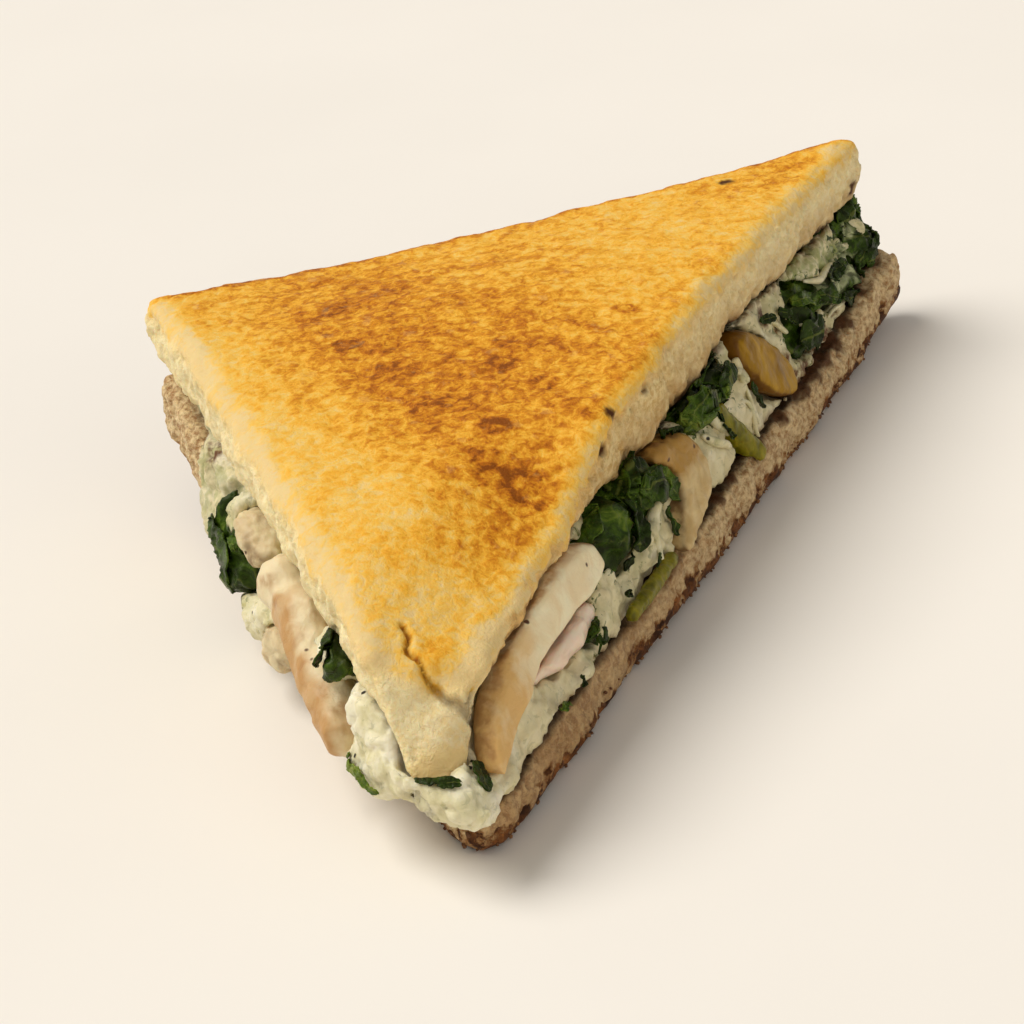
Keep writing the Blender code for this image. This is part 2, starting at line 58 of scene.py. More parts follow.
# The camera of the photograph, then turned to the object
CAMERA_PLACE = (-291.79, -152.76, 174.88)
PHOTO_FORWARD = (0.8299, 0.1745, -0.5299)
OBJECT_FORWARD = (0.7946, 0.3882, -0.4669)
LENS = 105.5
SENSOR = 36.0

# Mesh sizes of the fine copies, and how far from the bread the soft pieces stay
BREAD_VOXEL = 0.44
FILLING_VOXEL = 0.46
FIRM_VOXEL = 0.3
SPINACH_GAP = 0.12
CHEESE_GAP = 0.1
STRAND_GAP = 0.15
LEAF_GAP = 0.3


# Numbers


def smooth_step(low, high, value):
    """From 0 at low to 1 at high with soft ends, also where high is the smaller number."""
    share = np.clip((value - low) / (high - low), 0.0, 1.0)
    return share * share * (3 - 2 * share)


SLOPES = np.random.default_rng(11).normal(size=(256, 3))
SLOPES /= np.linalg.norm(SLOPES, axis=1)[:, None]
NOISE_GAIN = 1.7
MASK = 0xFFFFFFFF
# Whole numbers that scatter the cells of a grid
CELL_PRIMES = (73856093, 19349663, 83492791)
STIRS = (2654435761, 2246822519, 3266489917)


def hashed(cell, seed):
    """A whole number below 2**32 for each cell of a grid."""
    x, y, z = (cell[:, i] * prime for i, prime in enumerate(CELL_PRIMES))
    mixed = (x ^ y ^ z ^ (seed * STIRS[0])) & MASK
    mixed = ((mixed ^ (mixed >> 15)) * STIRS[1]) & MASK
    mixed = ((mixed ^ (mixed >> 13)) * STIRS[2]) & MASK
    return mixed ^ (mixed >> 16)


def noise(points, size, seed=0):
    """Smooth noise from about -1 to 1, with bumps of that size."""
    place = points / size
    cell = np.floor(place).astype(np.int64)
    part = place - cell
    ease = part**3 * (part * (part * 6 - 15) + 10)
    total = np.zeros(len(points))
    for corner in itertools.product((0, 1), repeat=3):
        slope = SLOPES[hashed(cell + corner, seed) & 255]
        weight = np.prod(np.where(corner, ease, 1 - ease), axis=1)
        total += weight * np.einsum("ij,ij->i", slope, part - corner)
    return total * NOISE_GAIN


def layered(points, size, layers=3, seed=0, gain=0.5):
    """Noise of several sizes, each half as large as the one before."""
    return sum(gain**i * noise(points, size / 2**i, seed + i) for i in range(layers))


def ridges(points, size, seed=0):
    """Noise with sharp crests, from 0 to 1."""
    return 1 - np.abs(noise(points, size, seed))


def swayed(points, amount, size, seeds):
    """The points, each moved a little by noise."""
    return points + amount * np.stack([noise(points, size, seed) for seed in seeds], axis=1)


def cells(points, size, seed=0):
    """Distance to the nearest of many scattered points, in sizes, and that point's own number up to 1."""
    place = points / size
    cell = np.floor(place).astype(np.int64)
    best = np.full(len(points), 9.0)
    own = np.zeros(len(points))
    for step in itertools.product((-1, 0, 1), repeat=3):
        other = cell + step
        number = hashed(other, seed)
        spot = np.stack([number & 1023, (number >> 10) & 1023, (number >> 20) & 1023], axis=1) / 1023
        distance = ((other + spot - place) ** 2).sum(axis=1)
        closer = distance < best
        best = np.where(closer, distance, best)
        own = np.where(closer, hashed(other, seed + 1) / MASK, own)
    return np.sqrt(best), own


def past_line(points, start, end):
    """Distance of each point from the line through two plan points, positive on its left."""
    run = (end - start) / np.linalg.norm(end - start)
    return run[0] * (points[:, 1] - start[1]) - run[1] * (points[:, 0] - start[0])


def from_tip(points):
    return np.hypot(points[:, 0] - TIP[0], points[:, 1] - TIP[1])


def lumps(points, places):
    """Height of rounded lumps: place, radius and height of each."""
    total = np.zeros(len(points))
    for place, radius, height in places:
        apart = ((points[:, : len(place)] - np.array(place)) ** 2).sum(axis=1)
        total += height * np.exp(-apart / radius**2)
    return total


def marks(points, places):
    """1 at some places with ragged rims, falling to 0 away from them: place and radius of each."""
    best = np.zeros(len(points))
    ragged = 1 + 0.45 * noise(points, 1.2, 65)
    for place, radius in places:
        away = np.linalg.norm(points - np.array(place), axis=1) * ragged
        best = np.maximum(best, smooth_step(radius * 1.1, radius * 0.55, away))
    return best


# Meshes


def points_of(mesh):
    flat = np.empty(len(mesh.vertices) * 3)
    mesh.vertices.foreach_get("co", flat)
    return flat.reshape(-1, 3) / MM


def normals_of(mesh):
    flat = np.empty(len(mesh.vertices) * 3, dtype=np.float32)
    mesh.vertex_normals.foreach_get("vector", flat)
    return flat.reshape(-1, 3).astype(float)


def put_points(mesh, points):
    mesh.vertices.foreach_set("co", (points * MM).ravel())
    mesh.update()


def store(mesh, **numbers):
    """Keeps numbers for each vertex, for the materials."""
    for name, values in numbers.items():
        flat = np.empty(len(mesh.vertices), dtype=np.float32)
        flat[:] = values
        mesh.attributes.new(name, "FLOAT", "POINT").data.foreach_set("value", flat)


def linked(name, mesh):
    obj = bpy.data.objects.new(name, mesh)
    bpy.context.scene.collection.objects.link(obj)
    return obj


def new_piece(name, points, faces):
    mesh = bpy.data.meshes.new(name)
    mesh.from_pydata((np.asarray(points) * MM).tolist(), [], [list(face) for face in faces])
    mesh.update()
    return linked(name, mesh)


def settled(obj, kind, **settings):
    """Applies one modifier to the object."""
    step = obj.modifiers.new(kind.title(), kind)
    for name, value in settings.items():
        setattr(step, name, value)
    graph = bpy.context.evaluated_depsgraph_get()
    mesh = bpy.data.meshes.new_from_object(obj.evaluated_get(graph))
    obj.modifiers.clear()
    old, obj.data = obj.data, mesh
    bpy.data.meshes.remove(old)
    return obj


def copied(node, name):
    """A closed copy of a CAD node's mesh."""
    work = bmesh.new()
    work.from_mesh(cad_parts[node].data)
    bmesh.ops.remove_doubles(work, verts=work.verts, dist=1e-7)
    mesh = bpy.data.meshes.new(name)
    work.to_mesh(mesh)
    work.free()
    return linked(name, mesh)


def fine_copy(node, name, voxel, rounds):
    """A fine even mesh with the CAD node's form, its facets smoothed away."""
    obj = settled(copied(node, name), "REMESH", mode="VOXEL", voxel_size=voxel * MM)
    return settled(obj, "SMOOTH", factor=0.5, iterations=rounds)


def tree_of(*nodes, keep=lambda face: True):
    """A search tree of some CAD nodes, or of those of their faces that keep says."""
    points, faces, count = [], [], 0
    for node in nodes:
        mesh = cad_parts[node].data
        points += points_of(mesh).tolist()
        faces += [[v + count for v in f.vertices] for f in mesh.polygons if keep(f)]
        count += len(mesh.vertices)
    return BVHTree.FromPolygons(points, faces)


BREAD = tree_of("bread_lower", "bread_upper")
FILLING = tree_of("cheese", "spinach")
CHEESE = tree_of("cheese")
SPINACH = tree_of("spinach")
WET = tree_of("spinach", "amber_slice", "mushroom_middle", "mushroom_front", "stem_front", "stem_middle")


def distance_to(tree, points):
    return np.array([tree.find_nearest(p)[3] for p in points.tolist()])


def kept_clear(points, tree, gap):
    """Moves points that are inside a closed form, or nearer than the gap, to that gap outside it."""
    moved = points.copy()
    for i, point in enumerate(points.tolist()):
        spot, normal, _, distance = tree.find_nearest(point)
        if (Vector(point) - spot).dot(normal) < min(gap, distance + 1e-6):
            moved[i] = spot + normal * gap
    return moved


def finished(obj, paint, slot, *nodes):
    """Gives a piece its material and its body, and hides the CAD nodes it stands for; the slot is not used.
    """
    obj.data.materials.clear()
    obj.data.materials.append(paint)
    obj.data.shade_smooth()
    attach(obj, "root")
    if nodes:
        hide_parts(*nodes)
    return obj


# Materials


def colour(red, green, blue):
    """A colour given as on a screen, from 0 to 255, as a linear one."""
    parts = [c / 255 for c in (red, green, blue)]
    return [c / 12.92 if c <= 0.04045 else ((c + 0.055) / 1.055) ** 2.4 for c in parts] + [1.0]


class Paint:
    """Builds one node material. Sizes are in millimetres, and a tuple is a colour as on a screen."""

    def __init__(self, name, **settings):
        self.material = bpy.data.materials.new(name)
        self.material.use_nodes = True
        tree = self.material.node_tree
        self.nodes, self.links = tree.nodes, tree.links
        self.shader = self.nodes["Principled BSDF"]
        self.place = self.nodes.new("ShaderNodeTexCoord").outputs["Object"]
        for key, value in settings.items():
            self.shader.inputs[key.replace("_", " ")].default_value = value

    def feed(self, socket, value):
        if isinstance(value, bpy.types.NodeSocket):
            self.links.new(value, socket)
        else:
            socket.default_value = colour(*value) if isinstance(value, tuple) else value

    def noise(self, size, detail=3.0, roughness=0.5, distortion=0.0, place=None):
        node = self.nodes.new("ShaderNodeTexNoise")
        self.feed(node.inputs["Vector"], place or self.place)
        node.inputs["Scale"].default_value = 1 / (size * MM)
        node.inputs["Detail"].default_value = detail
        node.inputs["Roughness"].default_value = roughness
        node.inputs["Distortion"].default_value = distortion
        return node.outputs[0]

    def dots(self, apart, inner, outer):
        """1 in small scattered dots, 0 between them."""
        node = self.nodes.new("ShaderNodeTexVoronoi")
        self.feed(node.inputs["Vector"], self.place)
        node.inputs["Scale"].default_value = 1 / (apart * MM)
        return self.fit(node.outputs["Distance"], inner, outer, 1.0, 0.0)

    def stretched(self, x, y, z):
        """Places that stretch a pattern along the axes."""
        node = self.nodes.new("ShaderNodeMapping")
        self.feed(node.inputs["Vector"], self.place)
        node.inputs["Scale"].default_value = (x, y, z)
        return node.outputs[0]

    def stored(self, name):
        node = self.nodes.new("ShaderNodeAttribute")
        node.attribute_name = name
        return node.outputs["Fac"]

    def fit(self, value, low, high, to_low=0.0, to_high=1.0):
        node = self.nodes.new("ShaderNodeMapRange")
        node.interpolation_type = "SMOOTHSTEP"
        for socket, number in zip(node.inputs, (value, low, high, to_low, to_high)):
            self.feed(socket, number)
        return node.outputs[0]

    def math(self, kind, first, second):
        node = self.nodes.new("ShaderNodeMath")
        node.operation = kind
        self.feed(node.inputs[0], first)
        self.feed(node.inputs[1], second)
        return node.outputs[0]

    def plus(self, first, second):
        return self.math("ADD", first, second)

    def times(self, first, second):
        return self.math("MULTIPLY", first, second)

    def uneven(self, name, pattern, low, high, least=0.0, most=1.0):
        """A stored number, made uneven by a pattern."""
        return self.times(self.stored(name), self.fit(pattern, low, high, least, most))

    def mix(self, share, first, second):
        node = self.nodes.new("ShaderNodeMix")
        node.data_type = "RGBA"
        self.feed(node.inputs[0], share)
        self.feed(node.inputs[6], first)
        self.feed(node.inputs[7], second)
        return node.outputs[2]

    def ramp(self, value, *stops):
        node = self.nodes.new("ShaderNodeValToRGB")
        self.feed(node.inputs[0], value)
        elements = node.color_ramp.elements
        while len(elements) < len(stops):
            elements.new(0.5)
        for element, (position, shade) in zip(elements, stops):
            element.position = position
            element.color = colour(*shade)
        return node.outputs[0]

    def bump(self, height, depth):
        node = self.nodes.new("ShaderNodeBump")
        node.inputs["Distance"].default_value = depth * MM
        self.feed(node.inputs["Height"], height)
        return node.outputs[0]

    def finish(self, base, roughness, normal):
        self.feed(self.shader.inputs["Base Color"], base)
        self.feed(self.shader.inputs["Roughness"], roughness)
        self.feed(self.shader.inputs["Normal"], normal)
        return self.material


# Shades of the toasted faces from pale to dark, of the baked bands, and of the crumbs, whose two
# painted-light shades are the crumb's colour where light is painted on it
GOLDEN = [(230, 201, 140), (240, 194, 94), (240, 177, 56), (217, 144, 32), (186, 108, 20), (136, 72, 12)]
UNDER = [(206, 158, 96), (186, 130, 70), (150, 96, 50), (114, 70, 36), (84, 50, 26), (62, 36, 20)]
UPPER_BAND = (230, 186, 114)
LOWER_BAND = (132, 88, 48)
UPPER_CRUMB = {
    "pore": (206, 168, 102),
    "cream": (238, 212, 154),
    "warm": (218, 178, 108),
    "painted_light_pore": (245, 219, 156),
    "light": (249, 235, 188),
}
LOWER_CRUMB = {
    "pore": (158, 122, 86),
    "cream": (204, 170, 122),
    "warm": (170, 128, 80),
    "painted_light_pore": (150, 104, 58),
    "light": (236, 212, 164),
}


def crumb_shade(paint, crumb, fluff):
    """The crumb's colour: pores and warm parts, painted light where the crumb is lit, painted shade near the
    filling and in the gap by it, and where the filling soaks it.
    """
    pores = paint.fit(paint.noise(1.0, 5.0, 0.68), 0.36, 0.6)
    cream = paint.mix(pores, crumb["pore"], crumb["cream"])
    warm = paint.fit(paint.noise(6.0, 2.0), 0.4, 0.66, 0.0, 0.4)
    cream = paint.mix(warm, cream, crumb["warm"])
    # Painted light: a lighter crumb colour at the open side, at the tip and towards one end of the cut
    lit_crumb = paint.mix(fluff, crumb["painted_light_pore"], crumb["light"])
    cream = paint.mix(paint.stored("light"), cream, lit_crumb)
    # Painted shade: the crumb is darkened to tan near its lower rim by the filling
    low = paint.uneven("low", paint.noise(3.0, 3.0, 0.6), 0.3, 0.64, 0.2, 0.7)
    cream = paint.mix(low, cream, (170, 126, 72))
    soak = paint.uneven("soak", paint.noise(2.4, 3.0, 0.6), 0.32, 0.62)
    cream = paint.mix(soak, cream, (112, 70, 32))
    # Painted shade: near-black in the gap where the crumb faces the filling
    return paint.mix(paint.stored("gap"), cream, (46, 30, 14))


def toast_paint(name, browning, band, crumb, blotches):
    """Bread: a browned face, a crumb and a thin baked band between them."""
    paint = Paint(
        name,
        Subsurface_Weight=0.18,
        Subsurface_Scale=1.4 * MM,
        Subsurface_Radius=(1.0, 0.55, 0.25),
        Specular_IOR_Level=0.12,
    )
    speckle = paint.noise(1.35, 5.0, 0.62, 0.5)
    grain = paint.noise(0.45, 2.0, 0.6)
    patches = paint.noise(4.6, 3.0, 0.6, 0.6)
    patchy = paint.plus(paint.fit(speckle, 0.3, 0.7, -0.17, 0.18), paint.fit(grain, 0.3, 0.7, -0.05, 0.06))
    patchy = paint.plus(patchy, paint.fit(patches, 0.33, 0.68, -0.09, 0.09))
    brown = paint.stored("brown")
    baked = paint.plus(brown, paint.times(patchy, paint.fit(brown, 0.05, 0.6, 0.45, 1.0)))
    toast = paint.ramp(baked, *[(0.1 + 0.16 * i, shade) for i, shade in enumerate(browning)])
    fluff = paint.fit(paint.noise(0.8, 4.0, 0.7), 0.28, 0.66)
    cream = crumb_shade(paint, crumb, fluff)
    crust = paint.mix(paint.fit(paint.noise(2.2, 3.0), 0.3, 0.7), (190, 134, 68), (146, 90, 42))
    blotch = paint.fit(paint.noise(2.4, 4.0, 0.6), 0.32, 0.68, -blotches, 0.4 * blotches)
    depth = paint.plus(paint.stored("skin"), blotch)
    # The baked band is painted lighter where the crumb gets painted light
    rim = paint.mix(paint.stored("light"), band, crumb["painted_light_pore"])
    edge = paint.mix(paint.fit(depth, 0.4, 1.9), rim, cream)
    edge = paint.mix(paint.stored("crust"), edge, crust)
    base = paint.mix(paint.fit(depth, 0.15, 0.8), toast, edge)
    # Singed spots, and painted shade along the crack's middle, in dark brown
    base = paint.mix(paint.stored("char_and_shade"), base, (78, 44, 18))
    relief = paint.plus(paint.times(grain, 0.5), speckle)
    relief = paint.plus(relief, paint.times(fluff, paint.fit(depth, 0.15, 0.8, 0.0, 0.5)))
    return paint.finish(base, paint.fit(baked, 0.1, 0.9, 0.66, 0.55), paint.bump(relief, 0.22))


def cheese_paint():
    paint = Paint(
        "melted_cheese",
        Subsurface_Weight=0.25,
        Subsurface_Scale=1.4 * MM,
        Subsurface_Radius=(1.0, 0.85, 0.5),
        Specular_IOR_Level=0.3,
    )
    milky = paint.noise(3.6, 4.0, 0.6, 0.6)
    base = paint.ramp(milky, (0.3, (204, 194, 142)), (0.46, (229, 219, 178)), (0.64, (243, 235, 208)))
    tan = paint.uneven("cut", paint.noise(3.0, 3.0), 0.3, 0.66, 0.3, 1.0)
    base = paint.mix(tan, base, (222, 207, 164))
    # Greener near the leaves: partly the spinach's green, partly painted shade from the leaves
    green = paint.uneven("green", paint.noise(2.0, 4.0, 0.6), 0.36, 0.62)
    base = paint.mix(green, base, (142, 148, 84))
    herb = paint.uneven("herb", paint.noise(1.3, 3.0, 0.6, 0.8), 0.58, 0.64)
    base = paint.mix(herb, base, (70, 88, 30))
    # Brown juice marks, and painted shade where the cheese meets the bread
    juice = paint.uneven("juice", paint.noise(1.8, 3.0, 0.6), 0.36, 0.6)
    base = paint.mix(juice, base, (98, 58, 18))
    base = paint.mix(paint.dots(4.6, 0.05, 0.08), base, (40, 34, 26))
    rough = paint.fit(paint.noise(1.6, 3.0), 0.35, 0.7, 0.32, 0.58)
    return paint.finish(base, rough, paint.bump(paint.noise(1.2, 4.0, 0.6), 0.2))


def spinach_paint():
    paint = Paint(
        "wilted_spinach",
        Subsurface_Weight=0.1,
        Subsurface_Scale=0.8 * MM,
        Subsurface_Radius=(0.4, 1.0, 0.2),
        Coat_Weight=0.1,
        Coat_Roughness=0.22,
        Specular_IOR_Level=0.2,
        Specular_Tint=colour(220, 226, 150),
    )
    tone = paint.fit(paint.stored("tone"), 0.0, 1.0, -0.2, 0.22)
    base = paint.ramp(
        paint.plus(paint.noise(1.8, 4.0, 0.62, 0.8), tone),
        (0.22, (18, 28, 4)),
        (0.42, (40, 60, 10)),
        (0.58, (68, 92, 20)),
        (0.74, (108, 124, 42)),
        (0.92, (160, 164, 88)),
    )
    vein = paint.stored("vein")
    base = paint.mix(paint.fit(vein, 0.2, 1.0, 0.0, 0.6), base, (140, 146, 66))
    # Painted shade: darker in the fold hollows of the mass and near the bread
    base = paint.mix(paint.fit(paint.stored("deep"), 0.1, 0.9, 0.0, 0.8), base, (16, 22, 6))
    milk = paint.uneven("milk", paint.noise(1.8, 4.0, 0.6, 0.6), 0.34, 0.56, 0.25, 0.95)
    base = paint.mix(milk, base, (186, 190, 144))
    wrinkle = paint.plus(paint.noise(0.9, 4.0, 0.6, 0.8), paint.times(vein, 0.6))
    rough = paint.fit(paint.noise(1.4, 2.0), 0.3, 0.7, 0.26, 0.55)
    return paint.finish(base, rough, paint.bump(wrinkle, 0.25))


def flesh_paint(name, pale, tan, dark, patch=2.6):
    """Mushroom flesh: pale, tan in patches, more so where far is high, dark at its edges."""
    paint = Paint(
        name,
        Subsurface_Weight=0.2,
        Subsurface_Scale=1.4 * MM,
        Subsurface_Radius=(1.0, 0.6, 0.35),
        Specular_IOR_Level=0.3,
    )
    streaks = paint.fit(paint.noise(patch, 4.0, 0.55, 0.6), 0.38, 0.68)
    share = paint.plus(paint.times(streaks, 0.5), paint.stored("far"))
    base = paint.mix(share, pale, tan)
    edge = paint.uneven("edge", paint.noise(1.8, 3.0), 0.34, 0.62, 0.1, 0.8)
    base = paint.mix(edge, base, dark)
    base = paint.mix(paint.dots(4.4, 0.05, 0.09), base, (88, 56, 34))
    rough = paint.fit(paint.noise(1.2, 3.0), 0.3, 0.7, 0.4, 0.6)
    return paint.finish(base, rough, paint.bump(paint.noise(0.9, 4.0, 0.6, 0.5), 0.16))


def amber_paint():
    paint = Paint(
        "amber_slice",
        Subsurface_Weight=0.1,
        Subsurface_Scale=1.2 * MM,
        Subsurface_Radius=(1.0, 0.6, 0.15),
        Specular_IOR_Level=0.2,
    )
    layers = paint.noise(2.0, 3.0, 0.5, 0.6, paint.stretched(1.0, 1.0, 0.35))
    base = paint.ramp(layers, (0.3, (132, 94, 6)), (0.5, (160, 118, 12)), (0.72, (188, 146, 36)))
    base = paint.mix(paint.times(paint.stored("edge"), 0.8), base, (96, 54, 12))
    rough = paint.fit(layers, 0.3, 0.7, 0.28, 0.45)
    return paint.finish(base, rough, paint.bump(paint.noise(0.8, 3.0), 0.12))


def onion_paint():
    paint = Paint(
        "onion", Subsurface_Weight=0.35, Subsurface_Scale=1.4 * MM, Coat_Weight=0.15, Coat_Roughness=0.3
    )
    lines = paint.noise(1.6, 3.0, 0.5, 0.4, paint.stretched(0.3, 1.0, 1.0))
    base = paint.ramp(lines, (0.3, (216, 184, 152)), (0.5, (240, 214, 186)), (0.72, (248, 230, 204)))
    base = paint.mix(paint.times(paint.stored("edge"), 0.35), base, (190, 150, 140))
    return paint.finish(base, paint.fit(lines, 0.3, 0.7, 0.28, 0.42), paint.bump(lines, 0.15))


def stem_paint():
    paint = Paint("green_stem", Subsurface_Weight=0.25, Subsurface_Scale=1.0 * MM, Specular_IOR_Level=0.25)
    fibres = paint.noise(1.0, 3.0, 0.55, 0.3, paint.stretched(1.0, 1.0, 0.4))
    base = paint.ramp(fibres, (0.3, (92, 88, 4)), (0.55, (128, 120, 10)), (0.78, (158, 146, 40)))
    return paint.finish(base, paint.fit(fibres, 0.3, 0.7, 0.3, 0.45), paint.bump(fibres, 0.15))


def crumb_paint():
    paint = Paint("toast_crumbs")
    tone = paint.stored("tone")
    base = paint.ramp(
        tone, (0.0, (92, 56, 28)), (0.4, (128, 84, 44)), (0.75, (176, 126, 72)), (1.0, (214, 178, 122))
    )
    base = paint.mix(paint.fit(paint.noise(0.4, 3.0), 0.3, 0.7, 0.0, 0.5), base, (96, 60, 32))
    return paint.finish(base, 0.75, paint.bump(paint.noise(0.3, 3.0), 0.1))


def floor_paint():
    paint = Paint("pale_floor", Roughness=0.85)
    base = paint.mix(paint.fit(paint.noise(60.0, 3.0), 0.3, 0.7), (243, 237, 228), (241, 235, 226))
    paint.feed(paint.shader.inputs["Base Color"], base)
    return paint.material


# Bread

# Browned and pale spots of the upper face: plan place, radius, strength
BROWN_SPOTS = [
    ((2, 11), 9, 0.13), ((-8, 4), 10, 0.13), ((6, 2), 10, 0.12), ((-18, -5), 9, 0.13),
    ((-10, -12), 11, 0.14), ((-21, -17), 9, 0.13), ((-31, -23), 7, 0.13), ((-19, -28), 6, 0.14),
    ((-34, -28), 5, 0.12), ((10, 20), 8, 0.12), ((16, 9), 8, 0.08), ((2, -16), 9, 0.1),
    ((16, -10), 8, 0.06), ((-42, -28), 4, 0.1), ((-29, -11), 6, 0.07), ((50, -25), 5, 0.09),
    ((58, -31), 6, 0.09), ((30, -2), 6, 0.07), ((-6, -25), 8, 0.1), ((-47, -24), 3.5, 0.12),
]
PALE_SPOTS = [
    ((-28, 2), 9, 0.09), ((-44, -18), 7, 0.12), ((-38, -13), 6, 0.08), ((-13, 21), 7, 0.1),
    ((27, -20), 10, 0.05), ((-52, -26), 5, 0.1), ((38, -24), 8, 0.04), ((-37, -3), 7, 0.06),
    ((14, -24), 7, 0.03), ((-24, -6), 4, 0.06),
]
# Ring marks of large pores in the browned face: plan place, radius, strength
RINGS = [
    (-31.4, -28.4, 2.4, 0.22), (-13.0, -22.6, 1.4, 0.12), (-24.0, -21.2, 1.2, 0.3), (-32.4, -24.2, 1.6, 0.2),
    (-9.0, -15.6, 1.3, 0.26), (7.6, -24.6, 1.0, 0.3), (2.0, 11.5, 1.4, 0.24), (-7.6, 4.8, 1.2, 0.24),
    (-29.7, -22.4, 1.4, 0.2), (-22.0, -12.0, 1.6, 0.14), (18.0, -14.0, 1.2, 0.14), (-40.0, -20.0, 1.5, 0.14),
]
# Lumps of the torn tip, its browned lump and its crusty one: place, radius, height or strength
TIP_LUMPS = [
    ((-64.8, -31.4, 15.2), 2.3, 1.0), ((-66.6, -30.4, 12.6), 1.9, 0.7), ((-63.4, -27.8, 19.2), 2.0, 0.6),
    ((-62.6, -32.6, 17.6), 1.6, 0.6), ((-60.8, -29.4, 21.4), 2.4, 0.4),
]
TIP_BROWN = [((-61.5, -29.5, 21.0), 3.0, 0.14)]
TIP_CRUST = [((-65.5, -32.8, 15.0), 3.2, 0.18)]
# Singed spots of the upper slice: place, radius
CHARS = [
    ((-21.3, -32.9, 25.1), 1.0), ((-16.7, -32.1, 27.3), 1.0), ((51.3, -21.9, 26.4), 1.3),
    ((-24.6, -33.6, 25.6), 0.5), ((-8.4, -33.4, 26.2), 0.5), ((-44.8, -34.6, 21.6), 0.45),
    ((-12.2, -33.0, 25.8), 0.4), ((64.7, -34.9, 20.4), 1.3),
]
# Dark marks along the lower slice's upper rim at the cut, where the filling meets it: place, radius
LOWER_RIM_MARKS = [
    ((35.9, -35.8, 6.9), 1.6), ((37.5, -36.9, 6.9), 1.4), ((31.9, -37.9, 6.9), 1.5),
    ((-22.1, -37.4, 6.9), 1.2), ((-12.7, -38.2, 6.9), 1.1), ((-7.9, -37.8, 6.9), 1.1),
    ((1.7, -36.4, 6.9), 1.4), ((6.9, -36.4, 6.9), 1.3), ((16.0, -36.6, 6.9), 1.4),
    ((-17.0, -37.6, 6.9), 1.0), ((24.0, -37.0, 6.9), 1.2), ((32.0, -36.6, 7.2), 2.4),
    ((36.0, -36.8, 7.2), 2.3), ((40.6, -37.0, 7.1), 2.4), ((45.6, -37.2, 7.0), 2.2),
    ((51.0, -37.2, 7.2), 1.8),
]
# The crack that crosses the upper slice near its tip, in plan, and half its width
CRACK = np.array(
    [(-58.6, -25.0), (-61.9, -27.5), (-63.0, -29.7), (-62.7, -32.0), (-62.9, -33.2), (-60.6, -34.2)]
)
CRACK_REACH = 0.55
# A face is part of the toasted side where its normal's height is above this
FACE_TURN = 0.62


def rings(points):
    """How much the ring marks brown the face."""
    total = np.zeros(len(points))
    for x, y, radius, strength in RINGS:
        away = np.hypot(points[:, 0] - x, points[:, 1] - y) + 0.5 * noise(points, 1.8, 55)
        total += strength * np.exp(-(((away - radius) / 0.5) ** 2))
    return total


def top_browning(points):
    """How browned the upper slice's face is at each place."""
    from_side = past_line(points, HEEL, TIP)
    wave = 1.2 * noise(points, 5.0, 57)
    brown = 0.42 + lumps(points, BROWN_SPOTS) - lumps(points, PALE_SPOTS) + rings(points)
    brown -= 0.07 * smooth_step(8, 1, from_side + wave)
    brown -= 0.2 * smooth_step(2.6, 0.4, from_side + 0.5 * wave)
    brown -= 0.26 * smooth_step(4.6, 2.0, past_line(points, TIP, BACK) + wave)
    brown += 0.3 * smooth_step(3.2, 0.8, past_line(points, BACK, HEEL))
    brown -= 0.1 * smooth_step(34, 20, from_tip(points))
    brown -= 0.3 * smooth_step(19, 12, from_tip(points) + 2 * noise(points, 4.0, 58))
    return np.clip(brown, 0.0, 1.0)


def crumb_pits(points):
    """Depth of the crumb's pores, of three sizes."""
    large, lone = cells(points, 2.4, 21)
    middle, other = cells(points, 1.4, 31)
    small, third = cells(points, 0.95, 41)
    pits = 0.7 * smooth_step(0.5, 0.1, large) * (lone > 0.6)
    pits += 0.5 * smooth_step(0.55, 0.1, middle) * (other > 0.45)
    return pits + 0.32 * smooth_step(0.55, 0.1, small) * (third > 0.3)


def crack(points):
    """1 in the crack of the upper slice, falling to 0 beside it."""
    nearest = np.full(len(points), 9.0)
    plan = points[:, :2] + 0.5 * np.stack([noise(points, 2.5, 51), noise(points, 2.5, 52)], axis=1)
    for start, end in zip(CRACK[:-1], CRACK[1:]):
        run = end - start
        share = np.clip((plan - start) @ run / (run @ run), 0, 1)
        nearest = np.minimum(nearest, np.linalg.norm(plan - start - share[:, None] * run, axis=1))
    return smooth_step(CRACK_REACH, 0.1, nearest) * smooth_step(9.0, 12.0, points[:, 2])


def baked_side(points, normals):
    """1 on the browned side at the back, the only one that isn't cut."""
    run = (HEEL - BACK) / np.linalg.norm(HEEL - BACK)
    facing = smooth_step(0.2, 0.6, normals[:, 0] * run[1] - normals[:, 1] * run[0])
    return smooth_step(2.2, 0.9, past_line(points, BACK, HEEL)) * facing


